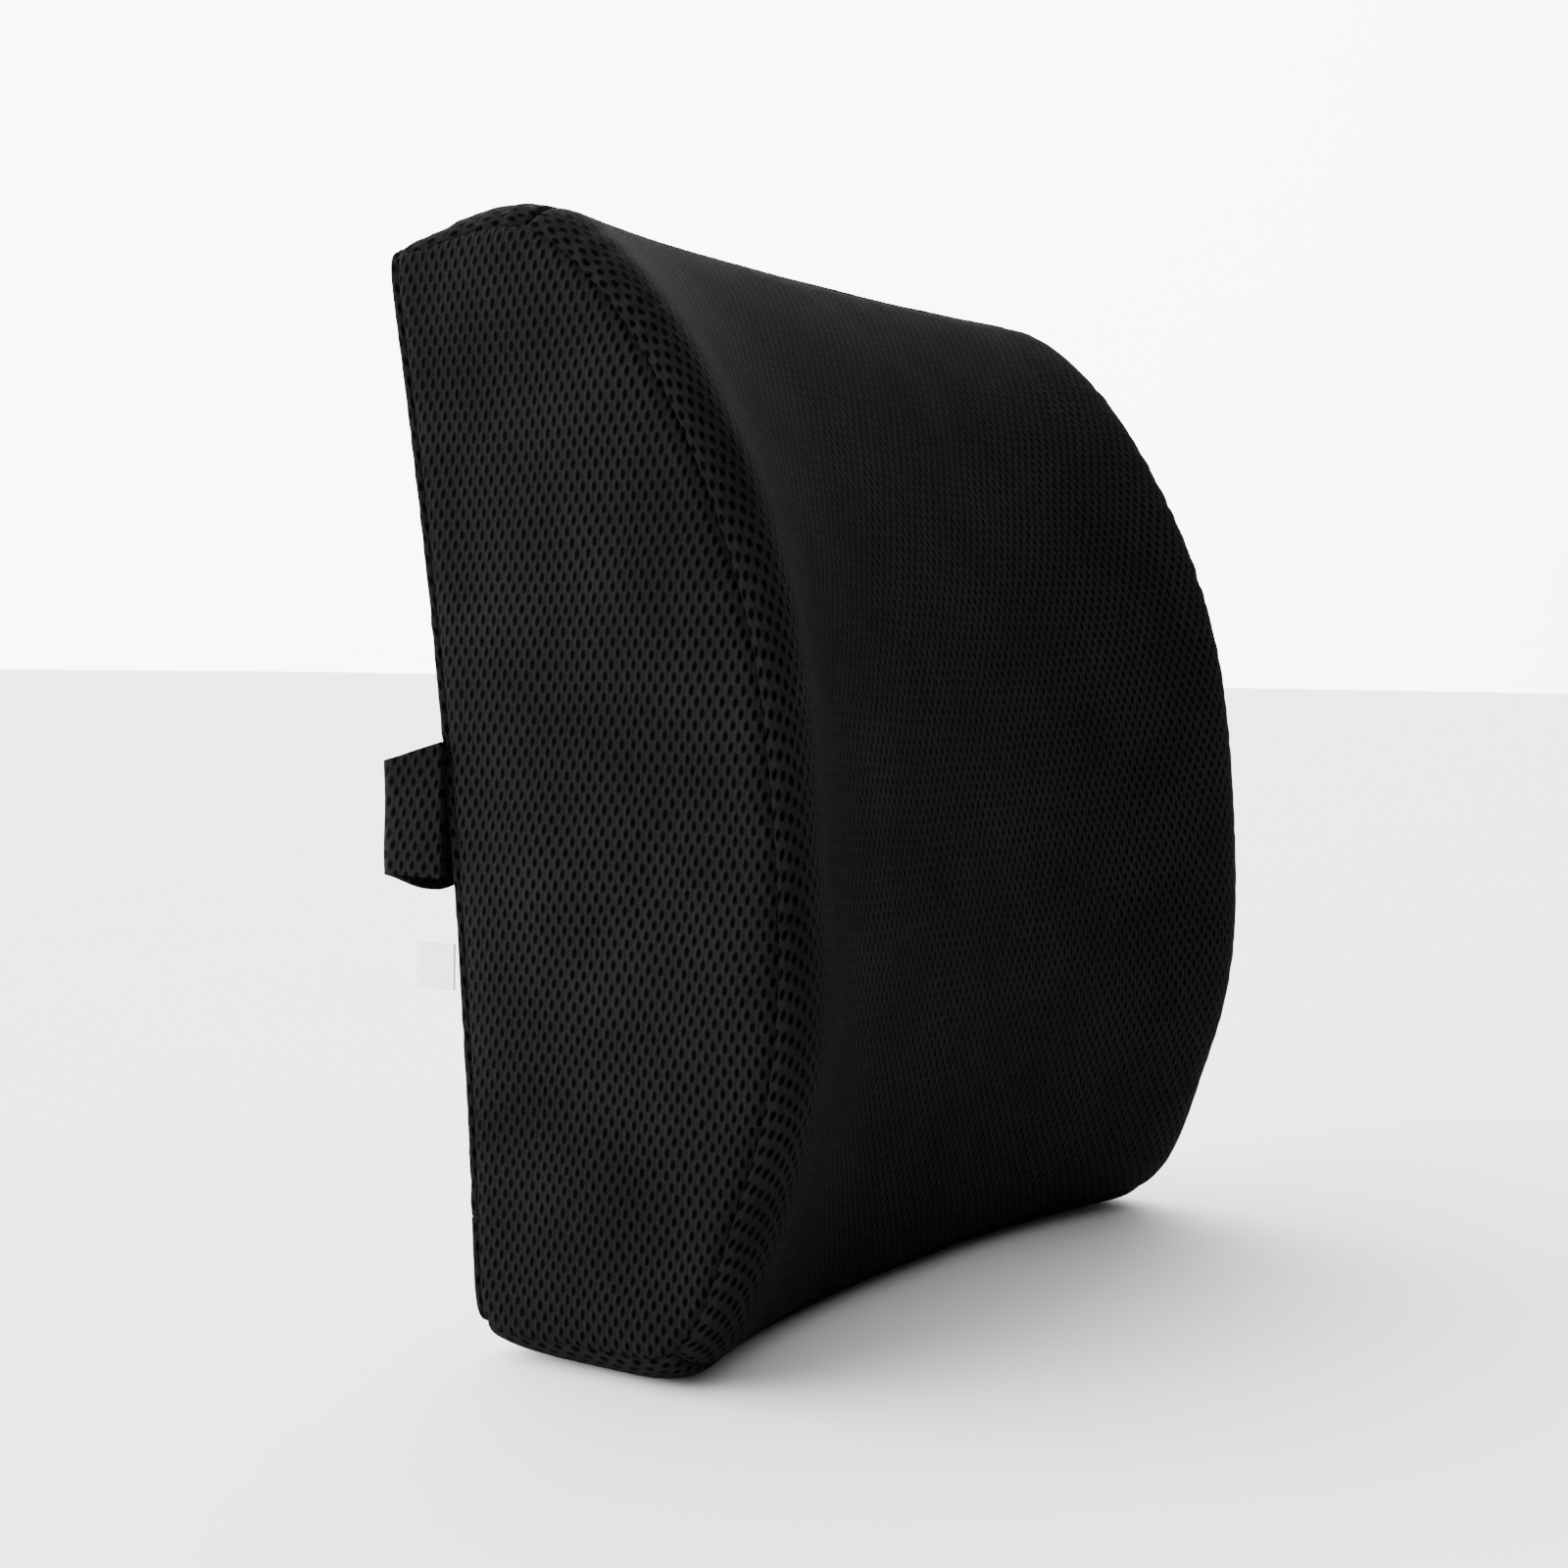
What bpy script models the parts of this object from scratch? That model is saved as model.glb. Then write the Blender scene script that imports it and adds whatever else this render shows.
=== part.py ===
"""Lumbar support cushion: moulded foam block, inner liner, zip-off spacer-mesh cover and an adjustable strap.

Metres, +Z up. X runs across the cushion, -Y is the hollowed front that meets the user's back, +Y is the flat side
that leans on the chair. The cushion stands on its flat bottom. The origin is the bottom centre of the whole box.
"""

import math

import bmesh
import bpy
import numpy as np
from mathutils import Matrix, Vector

# ---------------------------------------------------------------- driving dimensions (metres)
H = 0.330  # height from the bottom to the top of the back edge
W = 0.3054  # width over the two side seams
EDGE_R = 0.0138  # rounding of the side edges, measured across the cushion
MID_Y = -0.05906  # depth of the middle of the box, measured from the back plane's middle
LEAN = -0.0386  # how far the back plane leans backwards over its height
BACK_BOW = 0.0066  # forward bow of the back plane at mid height
HOLLOW_BOTTOM, HOLLOW_MIDDLE, HOLLOW_TOP = 0.215, 0.237, 0.232  # hollow at the centre, share of the local depth
HOLLOW_POWER = 2.52  # shape of the hollow across the width
TOP_SAG = 0.0008  # the top edge's rise at the middle of the width
SIDE_BULGE = 0.0020  # how far the side panels stand proud of their seam
EDGE_DEPTH_BACK = 0.0065  # in-plane rounding at the back edge
EDGE_DEPTH = ((0.0, 0.0090), (0.12, 0.0090), (0.45, 0.0058), (0.75, 0.0091), (0.95, 0.0096))  # at the front, by height

COVER_T = 0.0022  # spacer mesh
LINER_T = 0.0006  # liner cloth
GAP = 0.0003  # clearance between touching pieces
LAST_PHI = math.radians(84.6)  # where the rounded edge meets the side seam

# depth of the side profile in front of the back plane, and its height, from the top front edge down to the base
FRONT_DEPTH = (0.0761, 0.0933, 0.1088, 0.1217, 0.1266, 0.1249, 0.1244, 0.1181, 0.1031, 0.0928)
FRONT_Z = (0.325, 0.307, 0.277, 0.238, 0.198, 0.158, 0.119, 0.079, 0.043, 0.0165)
BACK_Z = (0.0055, 0.030, 0.070, 0.120, 0.165, 0.210, 0.260, 0.300, 0.3205)
TOP_POINTS = ((0.005, 0.3268), (0.020, 0.3286), (0.0395, 0.3356), (0.0624, 0.3346))
BASE_POINTS = ((0.0760, 0.0), (0.055, 0.0), (0.036, 0.0), (0.018, 0.0), (0.006, 0.0))
CTRL = np.array([(0.0, z) for z in BACK_Z] + list(TOP_POINTS) + list(zip(FRONT_DEPTH, FRONT_Z)) + list(BASE_POINTS))
N_CTRL = len(CTRL)

# seams of the cover, as positions along the closed profile (0 is the foot of the back, counted up, over and down)
T_BACK_FOOT, T_BACK_TOP, T_TOP_FRONT, T_FRONT_FOOT = -0.55, 9.0, 12.0, 22.7

# zipper
ZIP_Z = 0.040  # height of the closure on the back
ZIP_HALF = 0.1270  # half length of the coils
ZIP_SLOT_X, ZIP_SLOT_END = 0.1330, 0.1345  # the slot narrows to a plain seam between these
SLOT_HALF = 0.0052
COIL_IN, COIL_OUT = 0.0008, 0.0020
TAPE_IN, TAPE_OUT = 0.0023, 0.0049
SLIDER_X = 0.1215

# strap
STRAP_Z, STRAP_W = 0.157, 0.040  # centre height and width of the mesh tabs
WEB_Y, WEB_T, WEB_W = 0.0095, 0.0014, 0.038
TAB_T, TAB_X, TAB_END, TAB_R = 0.0030, 0.1545, 0.0950, 0.0075
WEB_START = 0.1130
GLIDE_X = 0.0720

# buckle, along X from the left bar to the right bar
BAR_LEFT, BAR_RIGHT = 0.0340, 0.0380  # distance of the two webbing bars from the middle
HOUSING_T, PLUG_T = 0.0100, 0.0090
CAVITY_Z, CAVITY_Y = 0.0170, 0.0032  # half height and half depth of the socket

# side label
LABEL_Z0, LABEL_Z1, LABEL_LEN, LABEL_T = 0.1050, 0.1210, 0.0150, 0.0006


# ---------------------------------------------------------------- scene helpers
for ob in list(bpy.data.objects):
    bpy.data.objects.remove(ob, do_unlink=True)


def material(name, colour, rough, metal=0.0):
    m = bpy.data.materials.new(name)
    m.use_nodes = True
    p = m.node_tree.nodes["Principled BSDF"]
    p.inputs["Base Color"].default_value = (*colour, 1.0)
    p.inputs["Roughness"].default_value = rough
    p.inputs["Metallic"].default_value = metal
    return m


MESH_BLACK = (0.022, 0.022, 0.024)
WEB_BLACK = (0.015, 0.015, 0.016)
PLASTIC_BLACK = (0.012, 0.012, 0.013)


def add(name, bm, colour, rough, metal=0.0, smooth=True, origin=None):
    """Put a bmesh in the scene as one named object with its own material."""
    bmesh.ops.remove_doubles(bm, verts=bm.verts, dist=1e-7)
    bmesh.ops.recalc_face_normals(bm, faces=bm.faces)
    shift = Vector((0.0, -MID_Y, 0.0))
    o = Vector(origin) + shift if origin is not None else Vector((0, 0, 0))
    bmesh.ops.translate(bm, verts=bm.verts, vec=shift - o)
    me = bpy.data.meshes.new(name)
    bm.to_mesh(me)
    bm.free()
    if smooth:
        me.shade_smooth()
        me.set_sharp_from_angle(angle=math.radians(40))
    ob = bpy.data.objects.new(name, me)
    ob.location = o
    bpy.context.scene.collection.objects.link(ob)
    me.materials.append(material(name + "_mat", colour, rough, metal))
    return ob


# ---------------------------------------------------------------- the cushion's surface
def profile(t):
    """Closed uniform cubic B-spline through CTRL: depth, height and outward normal at position t."""
    t = t % N_CTRL
    i = int(math.floor(t))
    u = t - i
    p = [CTRL[(i + k) % N_CTRL] for k in (-1, 0, 1, 2)]
    b = ((1 - u) ** 3, 3 * u**3 - 6 * u**2 + 4, -3 * u**3 + 3 * u**2 + 3 * u + 1, u**3)
    d = (-3 * (1 - u) ** 2, 9 * u**2 - 12 * u, -9 * u**2 + 6 * u + 3, 3 * u**2)
    pos = sum(w * q for w, q in zip(b, p)) / 6
    tan = sum(w * q for w, q in zip(d, p)) / 6
    tan = tan / np.linalg.norm(tan)
    return pos[0], pos[1], -tan[1], tan[0]


def back_offset(z):
    q = z / H
    return LEAN * (q - 0.5) + BACK_BOW * 4 * q * (1 - q)


def edge_depth(f, q):
    front = float(np.interp(q, [a for a, _ in EDGE_DEPTH], [b for _, b in EDGE_DEPTH]))
    if f <= 0.012:
        return EDGE_DEPTH_BACK
    return EDGE_DEPTH_BACK + (front - EDGE_DEPTH_BACK) * min(1.0, (f - 0.012) / 0.028)


XC = W / 2 - EDGE_R


def surface(x, phi, t, d):
    """A point on the cushion, d below its outer face. phi is the turn round the side edge (signed), 0 between."""
    f, z, nf, nz = profile(t)
    q = min(1.0, max(0.0, z / H))
    rs = edge_depth(f, q)
    hollow = HOLLOW_BOTTOM * (1 - q) * (1 - 2 * q) + HOLLOW_MIDDLE * 4 * q * (1 - q) - HOLLOW_TOP * q * (2 * q - 1) * -1
    if abs(phi) < 1e-9:
        g, de, px = max(0.0, 1 - (abs(x) / XC) ** HOLLOW_POWER), 0.0, x
    else:
        g, de = 0.0, 1 - math.cos(phi)
        px = math.copysign(XC + (EDGE_R - d) * math.sin(abs(phi)), phi)
    inset = d + max(rs - d, 0.001) * de
    y = f * (1 - hollow * g) - nf * inset
    zz = z - nz * inset + g * TOP_SAG * q**6
    return Vector((px, -(y + back_offset(z)), zz))


def spread(a, b, n):
    return [a + (b - a) * k / n for k in range(n + 1)]


N_PHI, N_MID, N_LONG, N_SHORT = 4, 12, 13, 6
ROWS = [(-XC, -p) for p in reversed(spread(0, LAST_PHI, N_PHI)[1:])]
ROWS += [(x, 0.0) for x in spread(-XC, XC, N_MID)]
ROWS += [(XC, p) for p in spread(0, LAST_PHI, N_PHI)[1:]]

T_A, T_B, T_C, T_D = T_BACK_FOOT, T_BACK_TOP, T_TOP_FRONT, T_FRONT_FOOT
BACK_T = [T_A, -0.05, 0.45] + spread(1.1, 8.0, 8) + [8.5, T_B]
TOP_T = spread(T_B, T_C, N_SHORT)
FRONT_T = spread(T_C, T_D, N_LONG)
BASE_T = [T_D, 23.3, 24.0, 25.0, 26.0, 26.8, T_A + N_CTRL]
N_LONG = len(BACK_T) - 1
FRONT_T = spread(T_C, T_D, N_LONG)
RING = BACK_T[:-1] + TOP_T[:-1] + FRONT_T[:-1] + BASE_T[:-1]


def split(q):
    return [[q[0], q[1], q[2]], [q[0], q[2], q[3]]]


def tube_faces(rows, cols, closed):
    """Faces of a grid of rows by cols, each key (row, col). One diagonal for all, so nested layers stay parallel."""
    out = []
    for i in range(rows - 1):
        for j in range(cols if closed else cols - 1):
            k = (j + 1) % cols
            out += split([(i, j), (i + 1, j), (i + 1, k), (i, k)])
    return out


def cap_grid(side, d, inset=0.0):
    """The closing face at one side: a Coons patch between the profile's four edges, with a slight bulge."""
    phi = LAST_PHI * side

    def at(t):
        p = surface(0, phi, t, d)
        if inset:
            f, z, nf, nz = profile(t)
            p = p + Vector((0.0, nf * inset, -nz * inset))
        return p

    left, right = [at(t) for t in BACK_T], [at(t) for t in reversed(FRONT_T)]
    bottom, top = [at(t) for t in reversed(BASE_T)], [at(t) for t in TOP_T]
    n, m = len(BACK_T) - 1, len(TOP_T) - 1
    grid = {}
    for a in range(n + 1):
        v = a / n
        for b in range(m + 1):
            u = b / m
            p = (1 - u) * left[a] + u * right[a] + (1 - v) * bottom[b] + v * top[b]
            p = p - ((1 - u) * (1 - v) * left[0] + u * (1 - v) * right[0] + (1 - u) * v * left[-1] + u * v * right[-1])
            p.x += side * SIDE_BULGE * 16 * u * (1 - u) * v * (1 - v) * 0.9
            grid[a, b] = p
    return grid, n, m


def mesh_from(faces, positions):
    bm = bmesh.new()
    verts = {k: bm.verts.new(p) for k, p in positions.items()}
    for f in faces:
        bm.faces.new([verts[k] for k in f])
    return bm


def thicken(faces, outer, inner):
    """Closed body between two copies of a patch, with side walls along the patch's free edges."""
    pos = {("o", k): p for k, p in outer.items()}
    pos.update({("i", k): p for k, p in inner.items()})
    out = [[("o", k) for k in f] for f in faces] + [[("i", k) for k in reversed(f)] for f in faces]
    edges = {(f[a], f[(a + 1) % len(f)]) for f in faces for a in range(len(f))}
    for a, b in sorted(edges, key=str):
        if (b, a) not in edges:
            out.append([("o", b), ("o", a), ("i", a), ("i", b)])
    return mesh_from(out, pos)


def layer(d):
    """The whole closed surface, d below the outer face: tube rows and the two side caps."""
    pos, n = {}, len(RING)
    for i, (x, phi) in enumerate(ROWS):
        for j, t in enumerate(RING):
            pos[i, j] = surface(x, phi, t, d)
    faces = tube_faces(len(ROWS), n, True)
    for side, row in ((-1, 0), (1, len(ROWS) - 1)):
        grid, a_n, b_n = cap_grid(side, d)
        key = {}
        for a in range(a_n + 1):
            for b in range(b_n + 1):
                if b == 0:
                    key[a, b] = (row, a)
                elif a == a_n:
                    key[a, b] = (row, a_n + b)
                elif b == b_n:
                    key[a, b] = (row, a_n + b_n + (a_n - a))
                elif a == 0:
                    key[a, b] = (row, (2 * a_n + b_n + (b_n - b)) % n)
                else:
                    key[a, b] = ("cap", side, a, b)
                    pos[key[a, b]] = grid[a, b]
        for a in range(a_n):
            for b in range(b_n):
                q = [key[a, b], key[a, b + 1], key[a + 1, b + 1], key[a + 1, b]]
                faces += [f if side > 0 else f[::-1] for f in split(q)]
    return faces, pos


D_LINER = COVER_T + GAP
D_FOAM = D_LINER + LINER_T + GAP

faces, foam_pos = layer(D_FOAM)
add("foam_core", mesh_from(faces, foam_pos), (0.78, 0.74, 0.62), 0.9)

# liner: the same closed surface with a long slit low on the back
faces, out_pos = layer(D_LINER)
_, in_pos = layer(D_LINER + LINER_T)
slit = {(i, 3) for i in range(N_PHI + 1, N_PHI + N_MID - 1)}
in_tube = 2 * (len(ROWS) - 1) * len(RING)
bm_faces = [f for k, f in enumerate(faces) if not (k < in_tube and divmod(k // 2, len(RING)) in slit)]
add("inner_liner", thicken(bm_faces, out_pos, in_pos), (0.75, 0.75, 0.73), 0.9)


def panel(name, ts, rows=ROWS, lo_of=None, hi_of=None):
    """Cover panel between two positions on the profile. lo_of and hi_of move an edge along the panel's width."""
    outer, inner = {}, {}
    for i, (x, phi) in enumerate(rows):
        row = list(ts)
        if lo_of:
            row[0] = lo_of(abs(x))
        if hi_of:
            row[-1] = hi_of(abs(x))
        for j, t in enumerate(row):
            outer[i, j] = surface(x, phi, t, 0.0)
            inner[i, j] = surface(x, phi, t, COVER_T)
    return add(name, thicken(tube_faces(len(rows), len(ts), False), outer, inner), MESH_BLACK, 0.85)


def speed(t):
    a, b = profile(t - 0.01), profile(t + 0.01)
    return math.hypot(a[0] - b[0], a[1] - b[1]) / 0.02


def step(t, metres):
    """The profile position a small distance further on."""
    return t + metres / speed(t)


G = 0.00018
panel("front_panel", [step(T_C, G)] + FRONT_T[1:-1] + [step(T_D, -G)])
panel("top_panel", [step(T_B, G)] + TOP_T[1:-1] + [step(T_C, -G)])
panel("bottom_panel", [step(T_D, G)] + BASE_T[1:-1] + [step(T_A, -G) + N_CTRL])


def t_at_back_height(z):
    lo, hi = 0.2, 8.0
    for _ in range(60):
        mid = (lo + hi) / 2
        if profile(mid)[1] < z:
            lo = mid
        else:
            hi = mid
    return (lo + hi) / 2


T_ZIP = t_at_back_height(ZIP_Z)


def edge_gap(x):
    """Half the opening between the two back panels: the zipper's slot, closing to a plain seam at its ends."""
    return SLOT_HALF if x <= ZIP_SLOT_X else G if x >= ZIP_SLOT_END else SLOT_HALF


extra = [-ZIP_SLOT_END, -ZIP_SLOT_X, ZIP_SLOT_X, ZIP_SLOT_END]
BACK_ROWS = sorted([r for r in ROWS if r[1] < 0], key=lambda r: r[1])
BACK_ROWS += [(x, 0.0) for x in sorted([r[0] for r in ROWS if r[1] == 0] + extra)]
BACK_ROWS += sorted([r for r in ROWS if r[1] > 0], key=lambda r: r[1])
panel(
    "back_panel_lower",
    [step(T_A, G)] + [t for t in BACK_T[1:-1] if t < T_ZIP - 0.25] + [T_ZIP],
    BACK_ROWS,
    hi_of=lambda x: step(T_ZIP, -edge_gap(x)),
)
panel(
    "back_panel_upper",
    [T_ZIP] + [t for t in BACK_T[1:-1] if t > T_ZIP + 0.25] + [step(T_B, -G)],
    BACK_ROWS,
    lo_of=lambda x: step(T_ZIP, edge_gap(x)),
)

for side, word in ((-1, "left"), (1, "right")):
    outer, a_n, b_n = cap_grid(side, 0.0, inset=0.00035)
    inner, _, _ = cap_grid(side, COVER_T, inset=0.00035)
    patch = []
    for a in range(a_n):
        for b in range(b_n):
            patch += split([(a, b), (a, b + 1), (a + 1, b + 1), (a + 1, b)])
    for k in inner:  # straight side walls, square to the panel
        if k[0] in (0, a_n) or k[1] in (0, b_n):
            inner[k] = Vector((outer[k].x - side * COVER_T, inner[k].y, inner[k].z))
    add(word + "_side_panel", thicken(patch, outer, inner), MESH_BLACK, 0.85)


# ---------------------------------------------------------------- plain solids
def prism(points, lo, hi, plane="XY"):
    """Extrude a closed outline. plane XY runs along Z, XZ runs along Y."""
    bm = bmesh.new()

    def place(p, h):
        return (p[0], p[1], h) if plane == "XY" else (p[0], h, p[1])

    a = [bm.verts.new(place(p, lo)) for p in points]
    b = [bm.verts.new(place(p, hi)) for p in points]
    bm.faces.new(a)
    bm.faces.new(list(reversed(b)))
    n = len(points)
    for k in range(n):
        bm.faces.new([a[k], b[k], b[(k + 1) % n], a[(k + 1) % n]])
    bmesh.ops.recalc_face_normals(bm, faces=bm.faces)
    return bm


def block(x0, x1, y0, y1, z0, z1):
    return prism([(x0, y0), (x1, y0), (x1, y1), (x0, y1)], z0, z1)


def rounded_rect(x0, x1, z0, z1, r, seg=3):
    pts = []
    for cx, cz, a0 in ((x1 - r, z1 - r, 0), (x0 + r, z1 - r, 90), (x0 + r, z0 + r, 180), (x1 - r, z0 + r, 270)):
        for k in range(seg + 1):
            a = math.radians(a0 + 90 * k / seg)
            pts.append((cx + r * math.cos(a), cz + r * math.sin(a)))
    return pts


def ribbon(path, thick, z0, z1):
    """Band of constant thickness whose middle follows a path in the XY plane."""
    left, right = [], []
    n = len(path)
    for k in range(n):
        a = Vector(path[max(k - 1, 0)])
        b = Vector(path[min(k + 1, n - 1)])
        d0 = (Vector(path[k]) - a).normalized() if k > 0 else (b - Vector(path[k])).normalized()
        d1 = (b - Vector(path[k])).normalized() if k < n - 1 else d0
        d = (d0 + d1).normalized()
        half = thick / 2 / max(0.5, d.dot(d0))
        nrm = Vector((-d.y, d.x)) * half
        p = Vector(path[k])
        left.append(tuple(p + nrm))
        right.append(tuple(p - nrm))
    return prism(left + right[::-1], z0, z1)


def moved(bm, matrix):
    bmesh.ops.transform(bm, matrix=matrix, verts=bm.verts)
    return bm


def boolean(target, cutters, operation="DIFFERENCE"):
    """Cut or join with throw-away objects, then keep the result as the target's mesh."""
    for c in cutters:
        me = bpy.data.meshes.new("cutter")
        c.to_mesh(me)
        c.free()
        cut = bpy.data.objects.new("cutter", me)
        cut.location = target.location * 0
        bpy.context.scene.collection.objects.link(cut)
        mod = target.modifiers.new("bool", "BOOLEAN")
        mod.operation = operation
        mod.solver = "EXACT"
        mod.object = cut
        bpy.context.view_layer.update()
        deps = bpy.context.evaluated_depsgraph_get()
        new = bpy.data.meshes.new_from_object(target.evaluated_get(deps))
        target.modifiers.clear()
        old = target.data
        target.data = new
        bpy.data.meshes.remove(old)
        bpy.data.objects.remove(cut, do_unlink=True)
        bpy.data.meshes.remove(me)
    return target


def shifted(bm):
    bmesh.ops.translate(bm, verts=bm.verts, vec=(0.0, -MID_Y, 0.0))
    return bm


# ---------------------------------------------------------------- zipper, in its own frame on the back panel
slope = (back_offset(ZIP_Z - 0.005) - back_offset(ZIP_Z + 0.005)) / 0.010
TILT = math.atan(slope)
ZIP_ORIGIN = Vector((0.0, -back_offset(ZIP_Z), ZIP_Z))
# local x along the zipper, local y outwards (away from the cushion), local z up the back
ZIP_FRAME = Matrix.Translation(ZIP_ORIGIN) @ Matrix.Rotation(-TILT, 4, "X")


def zip_piece(name, bm, colour, rough, metal=0.0, origin=None, smooth=False):
    o = ZIP_FRAME @ Vector(origin) if origin is not None else None
    return add(name, moved(bm, ZIP_FRAME), colour, rough, metal, smooth=smooth, origin=o)


for sign, word in ((1, "upper"), (-1, "lower")):
    lo, hi = sorted((sign * TAPE_IN, sign * TAPE_OUT))
    zip_piece("zipper_tape_" + word, block(-ZIP_HALF, ZIP_HALF, -0.0010, -0.0004, lo, hi), WEB_BLACK, 0.9)
    lo, hi = sorted((sign * COIL_IN, sign * COIL_OUT))
    mid_y, mid_z, ry, rz = -0.0007, (lo + hi) / 2, 0.0006, (hi - lo) / 2
    bm = bmesh.new()
    rings = []
    for x in (-ZIP_HALF, ZIP_HALF):
        ring = []
        for k in range(8):
            a = math.radians(22.5 + 45 * k)
            ring.append(bm.verts.new((x, mid_y + ry * math.cos(a), mid_z + rz * math.sin(a))))
        rings.append(ring)
    for k in range(8):
        bm.faces.new([rings[0][k], rings[1][k], rings[1][(k + 1) % 8], rings[0][(k + 1) % 8]])
    bm.faces.new(rings[0][::-1])
    bm.faces.new(rings[1])
    zip_piece("zipper_coil_" + word, bm, PLASTIC_BLACK, 0.5, smooth=True)

for sign, word in ((1, "top"), (-1, "bottom")):
    x0, x1 = sorted((sign * (ZIP_HALF + GAP), sign * (ZIP_HALF + 0.0031)))
    zip_piece(
        "zipper_" + word + "_stop", block(x0, x1, -0.0018, 0.0003, -0.0026, 0.0026), (0.45, 0.45, 0.46), 0.4, 1.0
    )

# slider: an inner and an outer plate joined by a neck between the coils, and a bridge for the pull
sx = SLIDER_X
slider = zip_piece(
    "zipper_slider",
    prism(
        [(sx - 0.0045, -0.0026), (sx - 0.0030, -0.0036), (sx + 0.0030, -0.0036), (sx + 0.0045, -0.0026),
         (sx + 0.0045, 0.0026), (sx + 0.0030, 0.0036), (sx - 0.0030, 0.0036), (sx - 0.0045, 0.0026)],
        0.0002, 0.0010, plane="XZ",
    ),
    (0.03, 0.03, 0.03), 0.35, 1.0, origin=(sx, 0.0, 0.0),
)


def zip_cutter(bm, origin):
    """A solid in the zipper's frame, moved into the target object's own coordinates."""
    moved(bm, ZIP_FRAME)
    return shifted(bm)


def join_all(target, pieces):
    """Union solids into the target, both in world coordinates."""
    loc = target.location.copy()
    for bm in pieces:
        bmesh.ops.translate(bm, verts=bm.verts, vec=-loc)
    target.location = (0, 0, 0)
    boolean(target, pieces, "UNION")
    target.location = loc
    return target


def cut_all(target, pieces):
    loc = target.location.copy()
    for bm in pieces:
        bmesh.ops.translate(bm, verts=bm.verts, vec=-loc)
    target.location = (0, 0, 0)
    boolean(target, pieces, "DIFFERENCE")
    target.location = loc
    return target


join_all(
    slider,
    [
        zip_cutter(block(sx - 0.0030, sx + 0.0030, -0.0018, 0.0006, -0.0005, 0.0005), None),
        zip_cutter(block(sx - 0.0040, sx + 0.0040, -0.0021, -0.0016, -0.0030, 0.0030), None),
        zip_cutter(
            ribbon([(sx - 0.0032, 0.0005), (sx - 0.0032, 0.0024), (sx - 0.0022, 0.0033), (sx + 0.0022, 0.0033),
                    (sx + 0.0032, 0.0024), (sx + 0.0032, 0.0005)], 0.0007, -0.0009, 0.0009),
            None,
        ),
    ],
)

# pull tab: its cross bar lies under the bridge and is the hinge
PIVOT = (sx, 0.0019, 0.0)
tab = zip_piece(
    "zipper_pull_tab",
    prism(rounded_rect(sx - 0.0230, sx - 0.0042, -0.0032, 0.0032, 0.0015), 0.0014, 0.0024, plane="XZ"),
    (0.03, 0.03, 0.03), 0.35, 1.0, origin=PIVOT,
)
join_all(
    tab,
    [
        zip_cutter(block(sx - 0.0060, sx + 0.0005, 0.0014, 0.0024, 0.0013, 0.0023), None),
        zip_cutter(block(sx - 0.0060, sx + 0.0005, 0.0014, 0.0024, -0.0023, -0.0013), None),
        zip_cutter(block(sx - 0.0005, sx + 0.0005, 0.0014, 0.0024, -0.0020, 0.0020), None),
    ],
)
cut_all(tab, [zip_cutter(prism(rounded_rect(sx - 0.0215, sx - 0.0165, -0.0018, 0.0018, 0.0012), 0.0005, 0.0035,
                               plane="XZ"), None)])

# ---------------------------------------------------------------- side label
seam_y = -back_offset(0.113)
add(
    "side_label",
    block(-W / 2 - 0.0004 - LABEL_T, -W / 2 - 0.0004, seam_y - 0.0050, seam_y + LABEL_LEN, LABEL_Z0, LABEL_Z1),
    (0.85, 0.85, 0.84), 0.7, smooth=False,
)

# ---------------------------------------------------------------- strap
strap_back = -back_offset(STRAP_Z)
tab_y = WEB_Y + WEB_T / 2 + GAP + TAB_T / 2
for side, word in ((-1, "left"), (1, "right")):
    path = [(side * TAB_X, strap_back - 0.0040), (side * TAB_X, strap_back + 0.0030)]
    cx, cy = TAB_X - TAB_R, tab_y - TAB_R
    for k in range(7):
        a = math.radians(90 * k / 6)
        path.append((side * (cx + TAB_R * math.cos(a)), cy + TAB_R * math.sin(a)))
    path.append((side * TAB_END, tab_y))
    add("strap_tab_" + word, ribbon(path, TAB_T, STRAP_Z - STRAP_W / 2, STRAP_Z + STRAP_W / 2), MESH_BLACK, 0.85)


# webbing: flat run from under the mesh tab to the buckle bar, folded round the bar and back behind itself
BAR_R = 0.0012
LOOP_R = BAR_R + 0.0004 + WEB_T / 2


def webbing_path(side, bar_x):
    """side is -1 on the left. bar_x is the bar's distance from the middle. The run lies in front of the bar."""
    path = [(side * WEB_START, WEB_Y), (side * (bar_x + 0.0090), WEB_Y), (side * (bar_x + 0.0040), WEB_Y - 0.0012)]
    for k in range(9):
        a = math.radians(-90 + 180 * k / 8)
        path.append((side * (bar_x - LOOP_R * math.cos(a)), WEB_Y + LOOP_R * math.sin(a)))
    path += [(side * (bar_x + 0.0045), WEB_Y + 0.0023), (side * (bar_x + 0.0100), WEB_Y + 0.0018),
             (side * (bar_x + 0.0180), WEB_Y + 0.0018)]
    return path


for side, word, bar in ((-1, "left", BAR_LEFT), (1, "right", BAR_RIGHT)):
    add("webbing_" + word, ribbon(webbing_path(side, bar), WEB_T, STRAP_Z - WEB_W / 2, STRAP_Z + WEB_W / 2),
        WEB_BLACK, 0.9)

# tri-glide adjuster: two cheeks, two bars in front of the webbing and one behind it
def box_piece(x0, x1, y0, y1, z0, z1):
    """A block placed from the strap's centre line, in world coordinates."""
    return shifted(block(x0, x1, WEB_Y + y0, WEB_Y + y1, STRAP_Z + z0, STRAP_Z + z1))


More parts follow.
